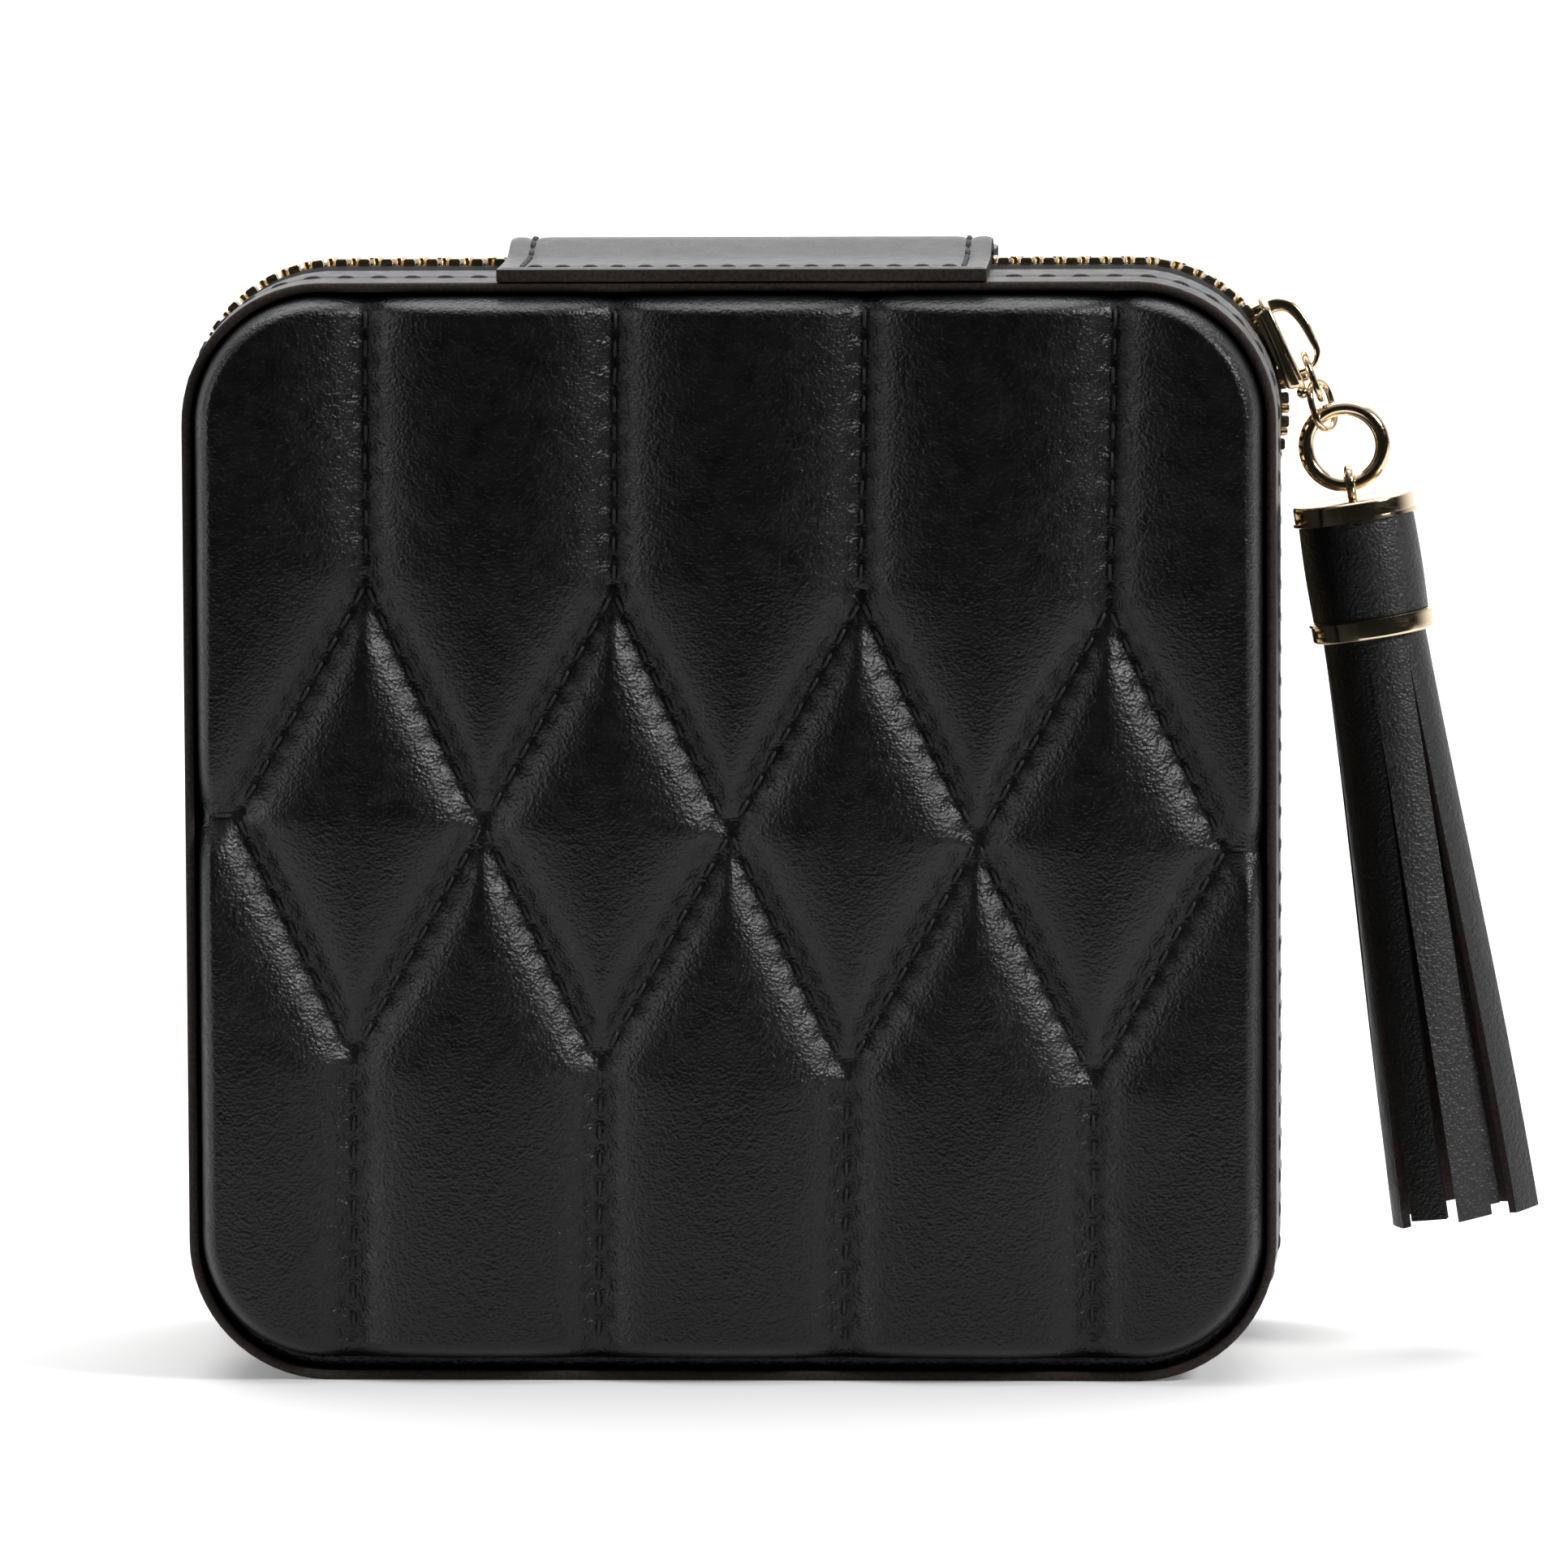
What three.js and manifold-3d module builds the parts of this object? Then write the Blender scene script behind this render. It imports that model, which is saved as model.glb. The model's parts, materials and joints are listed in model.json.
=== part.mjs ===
// A zip-around leather jewellery case, closed and standing on its edge.
// Millimetres, +Z up. The origin is the middle of the base's flat standing edge.
// The pieces are drawn about the zip plane, which the case group moves into place: the quilted lid
// is in front of that plane (-Y) and the base is behind it (+Y).
// A wall section is drawn as [outward, depth] points: outward from the case's rounded-square
// outline, and depth away from the zip plane. A sweep carries the section round the outline.
import * as THREE from "three";
import { mergeVertices } from "three/addons/utils/BufferGeometryUtils.js";
import Module from "manifold-3d";

const wasm = await Module();
wasm.setup();

// Case outline and depths
const CASE_WIDTH = 128;
const CASE_HEIGHT = 129.4;
const CORNER_RADIUS = 16.5;
const LID_DEPTH = 27;
const BASE_DEPTH = 26;
const CORNER_STEPS = 8;
const GAP = 0.3;

// Wall layers, from the outside in
const LEATHER = 1.1;
const WALL_CROWN = 0.5;
const WALL_EDGE = 9;
const WALL_BOARD_OUTER = -2.4;
const WALL_BOARD_INNER = -3.7;
const WALL_BOARD_EDGE = 7;
const WALL_BOARD_SETBACK = 3.3;
const LINING_OUTER = -4;
const LINING = 0.8;
const LINING_EDGE = 0.4;
const LID_LINING_SETBACK = 5.6;
const BASE_LINING_SETBACK = 2.3;

// Lid and back panels
const COVER_INSET = 1.7;
const COVER_FOOT_INSET = 2.8;
const QUILT_RISE = 3;
const QUILT_ROUND = 2.4;
const BACK_RISE = 1.5;
const BACK_ROUND = 1;
const BOARD = 2;
const FOAM = 4.6;
// How far each cover's rim reaches in past the edge of its wall
const LID_COVER_TUCK = 2.6;
const BACK_COVER_TUCK = 0.7;
const FOOT_EXTRA = COVER_FOOT_INSET - COVER_INSET;

// Zip: a 6 mm metal chain that stands a little proud of the walls and is recessed below the case
const ZIP_BULGE = 1.7;
const TEETH_RECESS = 0.15;
const TEETH_HEIGHT = 2.2;
const TEETH_INNER_EDGE = 1.2;
const TEETH_OUTER_EDGE = 2.9;
const TAPE = 0.5;
const TAPE_EDGE = 3.2;
const TAPE_SEWN_EDGE = 16;
const ZIP_START_X = -24;
const ZIP_END_X = 26.5;
const STOP_LENGTH = 2;
// Going down each side, the zip sinks behind the walls' crowns between these heights.
const ZIP_SINK_START = 107;
const ZIP_SINK_END = 99;

// Hinge patch over the zip at the middle of the top wall
const PATCH_X = 1.7;
const PATCH_WIDTH = 57.2;
const PATCH = 1.6;
const PATCH_OVER_TEETH = 0.8;
const PATCH_SPLIT = 0.3;
const PATCH_CREST_EDGE = 3.5;

// Slider on the upper right corner, turned about the corner's centre
const SLIDER_ANGLE = 24.2;
const SLIDER_LENGTH = 12.2;
const SLIDER_NOSE = 5.2;
const SLIDER_TAIL = 3.9;
const NOSE_CHAMFER = { along: 1.5, across: 2 };
const TAIL_CHAMFER = { along: 1, across: 1.2 };
const PLATE = 1;
const TOP_PLATE = CORNER_RADIUS + ZIP_BULGE - TEETH_RECESS + GAP;
const LOWER_PLATE = 14.2;
const SLIDER_POST = 0.85;
const POST_LENGTH = 2.4;
const POST_Z = 4.3;
const FLANGE = 0.9;
const FLANGE_DROP = 0.75;
const FLANGE_MIDDLE = 3.8;
const FLANGE_SETBACK = 1.5;
const FLANGE_ROOT = 0.4;
const BRIDGE_WIDTH = 2.4;
const BRIDGE_STRIP = 1;
const BRIDGE_RISE = 3.3;
const BRIDGE_LEG = 4.4;
const BRIDGE_NOSE = 5.6;
const BRIDGE_NOSE_THICK = 3;
const BRIDGE_ROOT = 0.2;
const BRIDGE_SILL = 0.4;
const BRIDGE_SHOULDER = 1.2;
const BRIDGE_CREST = 1.2;
const SLIDER_CLEAR_START = 1;
const SLIDER_CLEAR_END = 48;
const NOTCH_EDGE = 6.4;

// Chain and tassel, in the zip plane: [x, z] of the pivots
const LINK_WIRE = 0.45;
const LINK_1_TOP = [67.83, 117.8];
const LINK_1_FOOT = [68.95, 114.9];
const LINK_2_FOOT = [69.75, 112.2];
const LINK_1_SPAN = 3.2;
const LINK_1_TWIST = 90;
const LINK_2_SPAN = 3.4;
const LINK_2_TWIST = 58;
// How far each wire passes beyond its pivot: in the bridge, through the other link, and under the ring
const BRIDGE_HOOK = 1.15;
const LINK_HOOK = 0.66;
const RING_HOOK = 1.5;
const RING_CENTRE = [72.1, 108.3];
const RING_RADIUS = 4.55;
const RING_WIRE = 0.92;
const TASSEL_LEAN = 8.9;
const EYE_RISE = 1.8;
const EYE_RADIUS = 1.8;
const EYE_WIRE = 0.55;
const CAP_RADIUS = 6.9;
const CAP_BAND = 2.4;
const CAP_BAND_PROUD = 0.35;
const CAP_WALL = 0.9;
const CAP_BEVEL = 0.4;
const CAP_SLEEVE = 11;
const FRINGE_TOP_RADIUS = 5.9;
const FRINGE_FOOT_RADIUS = 8.6;
const FRINGE_LENGTH = 70;

// Inside: ring rolls and dividers in the base, a mirror and a pocket in the lid
const ROLLS = 5;
const ROLL_LENGTH = 55;
const ROLL_WIDTH = 8.3;
const ROLL_PITCH = 8.8;
const ROLL_HEIGHT = 16.5;
const DIVIDER = 2;
const DIVIDER_HEIGHT = 19;
const CROSS_DIVIDER_Z = 52;
const MIRROR = { width: 92, height: 58, thick: 1.8, z: 85 };
const FRAME_BORDER = 6;
const FRAME_LIP = 1.2;
const POCKET = { width: 100, height: 34, thick: 2.4, corner: 6, z: 26 };

// How finely round things are drawn, and how far a cutting solid passes the face it cuts
const TURNED_STEPS = 24;
const WIRE_SIDES = 8;
const CUT_PAST = 1;

// The cap hangs under the ring's centre, along the tassel's axis.
const CAP_TOP = [
  RING_CENTRE[0] + (RING_RADIUS + EYE_RISE) * Math.sin(THREE.MathUtils.degToRad(TASSEL_LEAN)),
  RING_CENTRE[1] - (RING_RADIUS + EYE_RISE) * Math.cos(THREE.MathUtils.degToRad(TASSEL_LEAN)),
];
const RIGHT_CENTRE = [CASE_WIDTH / 2 - CORNER_RADIUS, CASE_HEIGHT - CORNER_RADIUS];
// Distance from the zip plane to the middle of the base's standing edge.
const STAND_Y = (BASE_DEPTH + WALL_EDGE) / 2;
const LID = -1;
const BASE = 1;
const LID_FLOOR = LID_DEPTH - LID_LINING_SETBACK;
const BASE_FLOOR = BASE_DEPTH - BASE_LINING_SETBACK;

const finishes = {
  leather: { color: 0x17161a, roughness: 0.45, metalness: 0 },
  gold: { color: 0xd8b878, roughness: 0.25, metalness: 1 },
  tape: { color: 0x121214, roughness: 0.85, metalness: 0 },
  velvet: { color: 0x2a2a30, roughness: 0.95, metalness: 0 },
  board: { color: 0x8a7a62, roughness: 0.9, metalness: 0 },
  foam: { color: 0xe3ddcc, roughness: 0.95, metalness: 0 },
  mirror: { color: 0xe8edf0, roughness: 0.03, metalness: 1 },
};

const radians = THREE.MathUtils.degToRad;

// ---- solids ----

// A closed solid from rings of points: each ring joins the next, and the ends are capped or joined.
function loft(rings, closed) {
  const count = rings[0].length;
  const points = rings.flat();
  const index = [];
  const last = closed ? rings.length : rings.length - 1;
  for (let i = 0; i < last; i++) {
    const here = i * count;
    const next = ((i + 1) % rings.length) * count;
    for (let k = 0; k < count; k++) {
      const after = (k + 1) % count;
      index.push(here + k, next + k, next + after, here + k, next + after, here + after);
    }
  }
  if (!closed) {
    index.push(...capFaces(rings[0], 0, false));
    index.push(...capFaces(rings.at(-1), (rings.length - 1) * count, true));
  }
  return facingOut(points, index);
}

// Triangles over one flat ring, drawn on the ring's own plane.
function capFaces(ring, start, turned) {
  const a = new THREE.Vector3().subVectors(ring[1], ring[0]).normalize();
  const normal = ringNormal(ring);
  const b = new THREE.Vector3().crossVectors(normal, a);
  const flat = ring.map((p) => new THREE.Vector2(p.dot(a), p.dot(b)));
  return THREE.ShapeUtils.triangulateShape(flat, []).flatMap(([i, j, k]) =>
    turned ? [start + i, start + k, start + j] : [start + i, start + j, start + k],
  );
}

function ringNormal(ring) {
  const normal = new THREE.Vector3();
  ring.forEach((p, i) => normal.add(new THREE.Vector3().crossVectors(p, ring[(i + 1) % ring.length])));
  return normal.normalize();
}

// An indexed geometry whose faces point out, whichever way its rings ran.
function facingOut(points, index) {
  let volume = 0;
  for (let i = 0; i < index.length; i += 3) {
    const [a, b, c] = [points[index[i]], points[index[i + 1]], points[index[i + 2]]];
    volume += a.dot(new THREE.Vector3().crossVectors(b, c));
  }
  const order = volume < 0 ? index.toReversed() : index;
  return new THREE.BufferGeometry().setFromPoints(points).setIndex(order);
}

function manifoldOf(geometry) {
  const bare = geometry.clone();
  bare.deleteAttribute("normal");
  bare.deleteAttribute("uv");
  const merged = mergeVertices(bare, 1e-4);
  const mesh = new wasm.Mesh({
    numProp: 3,
    vertProperties: merged.attributes.position.array,
    triVerts: new Uint32Array(merged.index.array),
  });
  return new wasm.Manifold(mesh);
}

function geometryOf(solid) {
  const mesh = solid.getMesh();
  const positions = new Float32Array(mesh.vertProperties);
  return new THREE.BufferGeometry()
    .setAttribute("position", new THREE.BufferAttribute(positions, 3))
    .setIndex(new THREE.BufferAttribute(new Uint32Array(mesh.triVerts), 1));
}

function join(...geometries) {
  return geometryOf(geometries.map(manifoldOf).reduce((a, b) => a.add(b)));
}

function cut(geometry, ...tools) {
  return geometryOf(tools.map(manifoldOf).reduce((a, b) => a.subtract(b), manifoldOf(geometry)));
}

function shared(a, b) {
  return geometryOf(manifoldOf(a).intersect(manifoldOf(b)));
}

function box(width, depth, height, x, y, z) {
  return new THREE.BoxGeometry(width, depth, height).translate(x, y, z);
}

// ---- the case's outline ----

// Stations round one corner of the outline, from one polar angle to another.
function corner(centreX, centreZ, from, to, radius = CORNER_RADIUS) {
  const steps = Math.max(1, Math.round((CORNER_STEPS * Math.abs(to - from)) / 90));
  return Array.from({ length: steps + 1 }, (_, i) => {
    const angle = radians(from + ((to - from) * i) / steps);
    const [nx, nz] = [Math.cos(angle), Math.sin(angle)];
    return { x: centreX + radius * nx, z: centreZ + radius * nz, nx, nz };
  });
}

function closedOutline() {
  const [cx, top] = RIGHT_CENTRE;
  const foot = CORNER_RADIUS;
  return [
    ...corner(-cx, top, 90, 180),
    ...corner(-cx, foot, 180, 270),
    ...corner(cx, foot, 270, 360),
    ...corner(cx, top, 0, 90),
  ];
}

const topStation = (x) => ({ x, z: CASE_HEIGHT, nx: 0, nz: 1 });
const sideStation = (side, z) => ({ x: (side * CASE_WIDTH) / 2, z, nx: side, nz: 0 });

// The zip's run from under the hinge patch, round by the left, the foot and the right side.
function zipRunToUpperRight() {
  const [cx, top] = RIGHT_CENTRE;
  const foot = CORNER_RADIUS;
  return [
    topStation(ZIP_START_X),
    ...corner(-cx, top, 90, 180),
    sideStation(-1, ZIP_SINK_START),
    sideStation(-1, ZIP_SINK_END),
    ...corner(-cx, foot, 180, 270),
    ...corner(cx, foot, 270, 360),
    sideStation(1, ZIP_SINK_END),
    sideStation(1, ZIP_SINK_START),
  ];
}

function zipRun() {
  const [cx, top] = RIGHT_CENTRE;
  return [...zipRunToUpperRight(), ...corner(cx, top, 0, 90), topStation(ZIP_END_X)];
}

// The run up to the slider's resting place, and the short run past it.
function zipRunBeforeSlider() {
  const [cx, top] = RIGHT_CENTRE;
  return [...zipRunToUpperRight(), ...corner(cx, top, 0, SLIDER_CLEAR_START)];
}

function zipRunAfterSlider() {
  const [cx, top] = RIGHT_CENTRE;
  return [...corner(cx, top, SLIDER_CLEAR_END, 90), topStation(ZIP_END_X)];
}

// 1 on the sides and top, falling to 0 on the flat foot, so that the zip never touches the table.
const bulgeAt = (station) => Math.min(1, 1 + station.nz);

function sweep(stations, side, section, closed) {
  const rings = stations.map((s) =>
    section(s).map(([out, depth]) => new THREE.Vector3(s.x + s.nx * out, side * depth, s.z + s.nz * out)),
  );
  return loft(rings, closed);
}

// A rounded-square slab made of outlines at several depths: levels are [depth, inset] pairs.
function slab(side, levels, footExtra = 0) {
  const rings = levels.map(([depth, inset]) =>
    closedOutline().map((s) => {
      const z = s.z - s.nz * inset;
      const lift = (footExtra * (CASE_HEIGHT - z)) / CASE_HEIGHT;
      return new THREE.Vector3(s.x - s.nx * inset, side * depth, z + lift);
    }),
  );
  return loft(rings, false);
}

// ---- walls ----

const crownAt = (depth, fullDepth) => (WALL_CROWN * (fullDepth - depth)) / (fullDepth - WALL_EDGE);

function wallLeather(side, fullDepth) {
  const middle = (fullDepth + WALL_EDGE) / 2;
  const section = (s) => {
    const rise = bulgeAt(s);
    const outer = [fullDepth, middle, WALL_EDGE].map((d) => [rise * crownAt(d, fullDepth), d]);
    const inner = [WALL_EDGE, middle, fullDepth].map((d) => [rise * crownAt(d, fullDepth) - LEATHER, d]);
    return [...outer, ...inner];
  };
  return sweep(closedOutline(), side, section, true);
}

function wallBoard(side, fullDepth) {
  const back = fullDepth - WALL_BOARD_SETBACK;
  const section = () => [
    [WALL_BOARD_OUTER, back],
    [WALL_BOARD_OUTER, WALL_BOARD_EDGE],
    [WALL_BOARD_INNER, WALL_BOARD_EDGE],
    [WALL_BOARD_INNER, back],
  ];
  return sweep(closedOutline(), side, section, true);
}

// ---- zip ----

function teethOuter(station) {
  const sunk = (station.z - ZIP_SINK_END) / (ZIP_SINK_START - ZIP_SINK_END);
  return -TEETH_RECESS + ZIP_BULGE * bulgeAt(station) * THREE.MathUtils.clamp(sunk, 0, 1);
}

function teethSection(s) {
  const outer = teethOuter(s);
  return [
    [outer, TEETH_OUTER_EDGE],
    [outer, TEETH_INNER_EDGE],
    [outer - TEETH_HEIGHT, TEETH_INNER_EDGE],
    [outer - TEETH_HEIGHT, TEETH_OUTER_EDGE],
  ];
}

// The tape runs from under the wall leather up to the middle of the teeth.
function tapeSection(s, edge) {
  const atTeeth = teethOuter(s) - (TEETH_HEIGHT - TAPE) / 2;
  const underLeather = -LEATHER - GAP;
  const share = (edge - TAPE_EDGE) / (WALL_EDGE - TAPE_EDGE);
  const atEdge = atTeeth + (underLeather - atTeeth) * share;
  const outer = [
    [underLeather, TAPE_SEWN_EDGE],
    [underLeather, WALL_EDGE],
    [atEdge, edge],
  ];
  return [...outer, ...outer.toReversed().map(([u, d]) => [u - TAPE, d])];
}

const plainTape = (s) => tapeSection(s, TAPE_EDGE);

// The lid's tape steps back at the slider's resting place, so that the lid can leave the slider.
function notchedTape(s) {
  const angle = THREE.MathUtils.radToDeg(Math.atan2(s.nz, s.nx));
  const onSliderCorner = s.x > 0 && angle > SLIDER_CLEAR_START && angle < SLIDER_CLEAR_END;
  return tapeSection(s, onSliderCorner ? NOTCH_EDGE : TAPE_EDGE);
}

function zipStop(x) {
  const z = CASE_HEIGHT - TEETH_RECESS + ZIP_BULGE - TEETH_HEIGHT / 2;
  const y = (TEETH_OUTER_EDGE + TEETH_INNER_EDGE) / 2;
  return box(STOP_LENGTH, TEETH_OUTER_EDGE - TEETH_INNER_EDGE, TEETH_HEIGHT, x, y, z);
}

// ---- panels ----

function quiltedCover() {
  const front = LID_DEPTH + QUILT_RISE;
  const back = LID_DEPTH - LID_COVER_TUCK;
  const within = COVER_INSET + LEATHER;
  const roundAt = (angle) => [
    front - QUILT_ROUND * (1 - Math.sin(radians(angle))),
    COVER_INSET + QUILT_ROUND * (1 - Math.cos(radians(angle))),
  ];
  const outside = slab(LID, [[back, COVER_INSET], roundAt(0), roundAt(45), roundAt(90)], FOOT_EXTRA);
  const inside = slab(LID, [[back - CUT_PAST, within], [front - LEATHER, within]], FOOT_EXTRA);
  return cut(outside, inside);
}

function lidFoam() {
  const front = LID_DEPTH + QUILT_RISE - LEATHER - GAP;
  const inset = COVER_INSET + LEATHER + GAP;
  return slab(LID, [[front - FOAM, inset], [front, inset]], FOOT_EXTRA);
}

function lidBoard() {
  const front = LID_DEPTH + QUILT_RISE - LEATHER - FOAM - 2 * GAP;
  const inset = GAP - WALL_BOARD_INNER;
  return slab(LID, [[front - BOARD, inset], [front, inset]]);
}

function backCover() {
  const back = BASE_DEPTH + BACK_RISE;
  const rim = BASE_DEPTH - BACK_COVER_TUCK;
  const within = COVER_INSET + LEATHER;
  const outside = slab(BASE, [
    [rim, COVER_INSET],
    [back - BACK_ROUND, COVER_INSET],
    [back, COVER_INSET + BACK_ROUND],
  ]);
  const inside = slab(BASE, [[rim - CUT_PAST, within], [back - LEATHER, within]]);
  return cut(outside, inside);
}

function backBoard() {
  const back = BASE_DEPTH + BACK_RISE - LEATHER - GAP;
  const inset = COVER_INSET + LEATHER + GAP;
  return slab(BASE, [[back - BOARD, inset], [back, inset]]);
}

// A velvet tray: a floor behind, and walls that reach the zip plane.
function liningTray(side, floorDepth) {
  const outside = slab(side, [[LINING_EDGE, -LINING_OUTER], [floorDepth, -LINING_OUTER]]);
  const inner = -LINING_OUTER + LINING;
  const inside = slab(side, [[LINING_EDGE - CUT_PAST, inner], [floorDepth - LINING, inner]]);
  return cut(outside, inside);
}

// ---- inside the case ----

function ringRoll(z) {
  const radius = ROLL_WIDTH / 2;
  const shape = new THREE.Shape();
  shape.moveTo(-radius, 0);
  shape.lineTo(radius, 0);
  shape.lineTo(radius, ROLL_HEIGHT - radius);
  shape.absarc(0, ROLL_HEIGHT - radius, radius, 0, Math.PI, false);
  const roll = new THREE.ExtrudeGeometry(shape, {
    depth: ROLL_LENGTH,
    bevelEnabled: false,
    curveSegments: 8,
  });
  // The roll's length turns to X, and its crown towards the lid.
  roll.applyMatrix4(new THREE.Matrix4().makeBasis(
    new THREE.Vector3(0, 0, 1),
    new THREE.Vector3(0, -1, 0),
    new THREE.Vector3(1, 0, 0),
  ));
  const placed = roll.translate(-DIVIDER / 2 - 2 * GAP - ROLL_LENGTH, BASE_FLOOR - LINING - GAP, z);
  // The lowest rolls follow the tray's rounded corner.
  const inset = LINING - LINING_OUTER + GAP;
  return shared(placed, slab(BASE, [[0, inset], [BASE_FLOOR, inset]]));
}

function divider(width, height, x, z) {
  const back = BASE_FLOOR - LINING - GAP;
  return box(width, DIVIDER_HEIGHT, height, x, back - DIVIDER_HEIGHT / 2, z);
}

function mirrorFrame() {
  const { width, height, thick, z } = MIRROR;
  const front = LID_FLOOR - LINING - GAP;
  const depth = thick + GAP + FRAME_LIP;
  const outer = box(width + FRAME_BORDER, depth, height + FRAME_BORDER, 0, -front + depth / 2, z);
  const rebate = box(width + 2 * GAP, 2 * (thick + GAP), height + 2 * GAP, 0, -front, z);
  const sight = box(width - FRAME_BORDER, 4 * depth, height - FRAME_BORDER, 0, -front, z);
  return cut(outer, rebate, sight);
}

function mirrorGlass() {
  const { width, height, thick, z } = MIRROR;
  const front = LID_FLOOR - LINING - GAP;
  return box(width, thick, height, 0, -front + thick / 2, z);
}

function lidPocket() {
  const { width, height, thick, corner: radius, z } = POCKET;
  const shape = new THREE.Shape();
  shape.moveTo(-width / 2, height / 2);
  shape.lineTo(-width / 2, -height / 2 + radius);
  shape.absarc(-width / 2 + radius, -height / 2 + radius, radius, Math.PI, 1.5 * Math.PI, false);
  shape.absarc(width / 2 - radius, -height / 2 + radius, radius, 1.5 * Math.PI, 2 * Math.PI, false);
  shape.lineTo(width / 2, height / 2);
  const pocket = new THREE.ExtrudeGeometry(shape, { depth: thick, bevelEnabled: false, curveSegments: 4 });
  return pocket.rotateX(Math.PI / 2).translate(0, -(LID_FLOOR - LINING - GAP) + thick, z);
}

// ---- hinge patch ----

// One half of the leather patch, from the zip plane to the outer edge of its wall.
function patchLeaf(side, fullDepth) {
  const overWall = WALL_CROWN + GAP;
  const overTeeth = ZIP_BULGE - TEETH_RECESS + PATCH_OVER_TEETH;
  const under = [
    [PATCH_SPLIT, overTeeth],
    [PATCH_CREST_EDGE, overTeeth],
    [WALL_EDGE, overWall],
    [fullDepth, GAP],
  ];
  const upper = under.toReversed().map(([d, u]) => [d, u + PATCH]);
  const rings = [-1, 1].map((end) =>
    [...under, ...upper].map(
      ([d, u]) => new THREE.Vector3(PATCH_X + (end * PATCH_WIDTH) / 2, side * d, CASE_HEIGHT + u),
    ),
  );
  return loft(rings, false);
}

// ---- slider: drawn with X outward from the corner's centre and Z up along the zip ----

function sliderPlate(outward) {
  const half = SLIDER_LENGTH / 2;
  const outline = [
    [0, SLIDER_NOSE],
    [half - TAIL_CHAMFER.along, SLIDER_TAIL],
    [half, SLIDER_TAIL - TAIL_CHAMFER.across],
    [half, TAIL_CHAMFER.across - SLIDER_TAIL],
    [half - TAIL_CHAMFER.along, -SLIDER_TAIL],
    [0, -SLIDER_NOSE],
    [NOSE_CHAMFER.along - half, -SLIDER_NOSE],
    [-half, NOSE_CHAMFER.across - SLIDER_NOSE],
    [-half, SLIDER_NOSE - NOSE_CHAMFER.across],
    [NOSE_CHAMFER.along - half, SLIDER_NOSE],
  ];
  const shape = new THREE.Shape(outline.map(([along, across]) => new THREE.Vector2(along, across)));
  const plate = new THREE.ExtrudeGeometry(shape, { depth: PLATE, bevelEnabled: false });
  return plate.rotateY(Math.PI / 2).translate(outward, 0, 0);
}

function sliderFlange(side) {
  const height = FLANGE_DROP + FLANGE_ROOT;
  const x = TOP_PLATE + (FLANGE_ROOT - FLANGE_DROP) / 2;
  return box(height, FLANGE, SLIDER_LENGTH - 2 * FLANGE_SETBACK, x, side * FLANGE_MIDDLE, 0);
}

// A flat strip that stands on the top plate, low at the nose and steep at the tail.
function sliderBridge() {
  const foot = TOP_PLATE + PLATE - BRIDGE_ROOT;
  const crest = TOP_PLATE + PLATE + BRIDGE_RISE;
  const asShape = (points) => new THREE.Shape(points.map(([t, n]) => new THREE.Vector2(t, n)));
  const shape = asShape([
    [-BRIDGE_NOSE, foot],
    [BRIDGE_LEG - BRIDGE_SHOULDER - BRIDGE_CREST, crest],
    [BRIDGE_LEG - BRIDGE_SHOULDER, crest],
    [BRIDGE_LEG, crest - BRIDGE_SHOULDER],
    [BRIDGE_LEG, foot],
  ]);
  const legInside = BRIDGE_LEG - BRIDGE_STRIP;
  const crestInside = crest - BRIDGE_STRIP;
  const shoulderInside = BRIDGE_STRIP / 2;
  shape.holes.push(new THREE.Path([
    [BRIDGE_NOSE_THICK - BRIDGE_NOSE, foot + BRIDGE_SILL],
    [legInside, foot + BRIDGE_SILL],
    [legInside, crestInside - shoulderInside],
    [legInside - shoulderInside, crestInside],
    [legInside - shoulderInside - BRIDGE_STRIP, crestInside],
  ].map(([t, n]) => new THREE.Vector2(t, n))));
  const strip = new THREE.ExtrudeGeometry(shape, { depth: BRIDGE_WIDTH, bevelEnabled: false });
  // The drawing's first axis runs down the zip, and its second one outward.
  strip.applyMatrix4(new THREE.Matrix4().makeBasis(
    new THREE.Vector3(0, 0, -1),
    new THREE.Vector3(1, 0, 0),
    new THREE.Vector3(0, -1, 0),
  ));
  return strip.translate(0, BRIDGE_WIDTH / 2, 0);
}

function slider() {
  const postSpan = TOP_PLATE - LOWER_PLATE + PLATE;
  const post = box(postSpan, 2 * SLIDER_POST, POST_LENGTH, (TOP_PLATE + LOWER_PLATE) / 2, 0, POST_Z);
  return join(
    sliderPlate(TOP_PLATE),
    sliderPlate(LOWER_PLATE - PLATE),
    post,
    sliderFlange(LID),
    sliderFlange(BASE),
    sliderBridge(),
  );
}

// ---- chain and tassel ----

// A closed wire link: two half circles joined by straights, drawn upright with its foot at z = 0.
function wireLink(span, length) {
  const bend = span / 2 + LINK_WIRE;
  const high = corner(0, length - bend, 0, 180, bend);
  const low = corner(0, bend, 180, 360, bend);
  const wire = () =>
    Array.from({ length: WIRE_SIDES }, (_, i) => {
      const angle = (i / WIRE_SIDES) * 2 * Math.PI;
      return [LINK_WIRE * Math.cos(angle), LINK_WIRE * Math.sin(angle)];
    });
  return sweep([...high, ...low], BASE, wire, true);
}

const leanOf = ([x0, z0], [x1, z1]) => Math.atan2(x1 - x0, z0 - z1);
const distance = ([x0, z0], [x1, z1]) => Math.hypot(x1 - x0, z1 - z0);

// Places a link so that its wire passes `above` one pivot and `below` the next.
function hungLink(span, twist, top, foot, above, below) {
  const lean = leanOf(top, foot);
  const link = wireLink(span, distance(top, foot) + above + below);
  return link
    .translate(0, 0, -below)
    .rotateZ(radians(twist))
    .rotateY(-lean)
    .translate(foot[0], 0, foot[1]);
}

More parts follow.
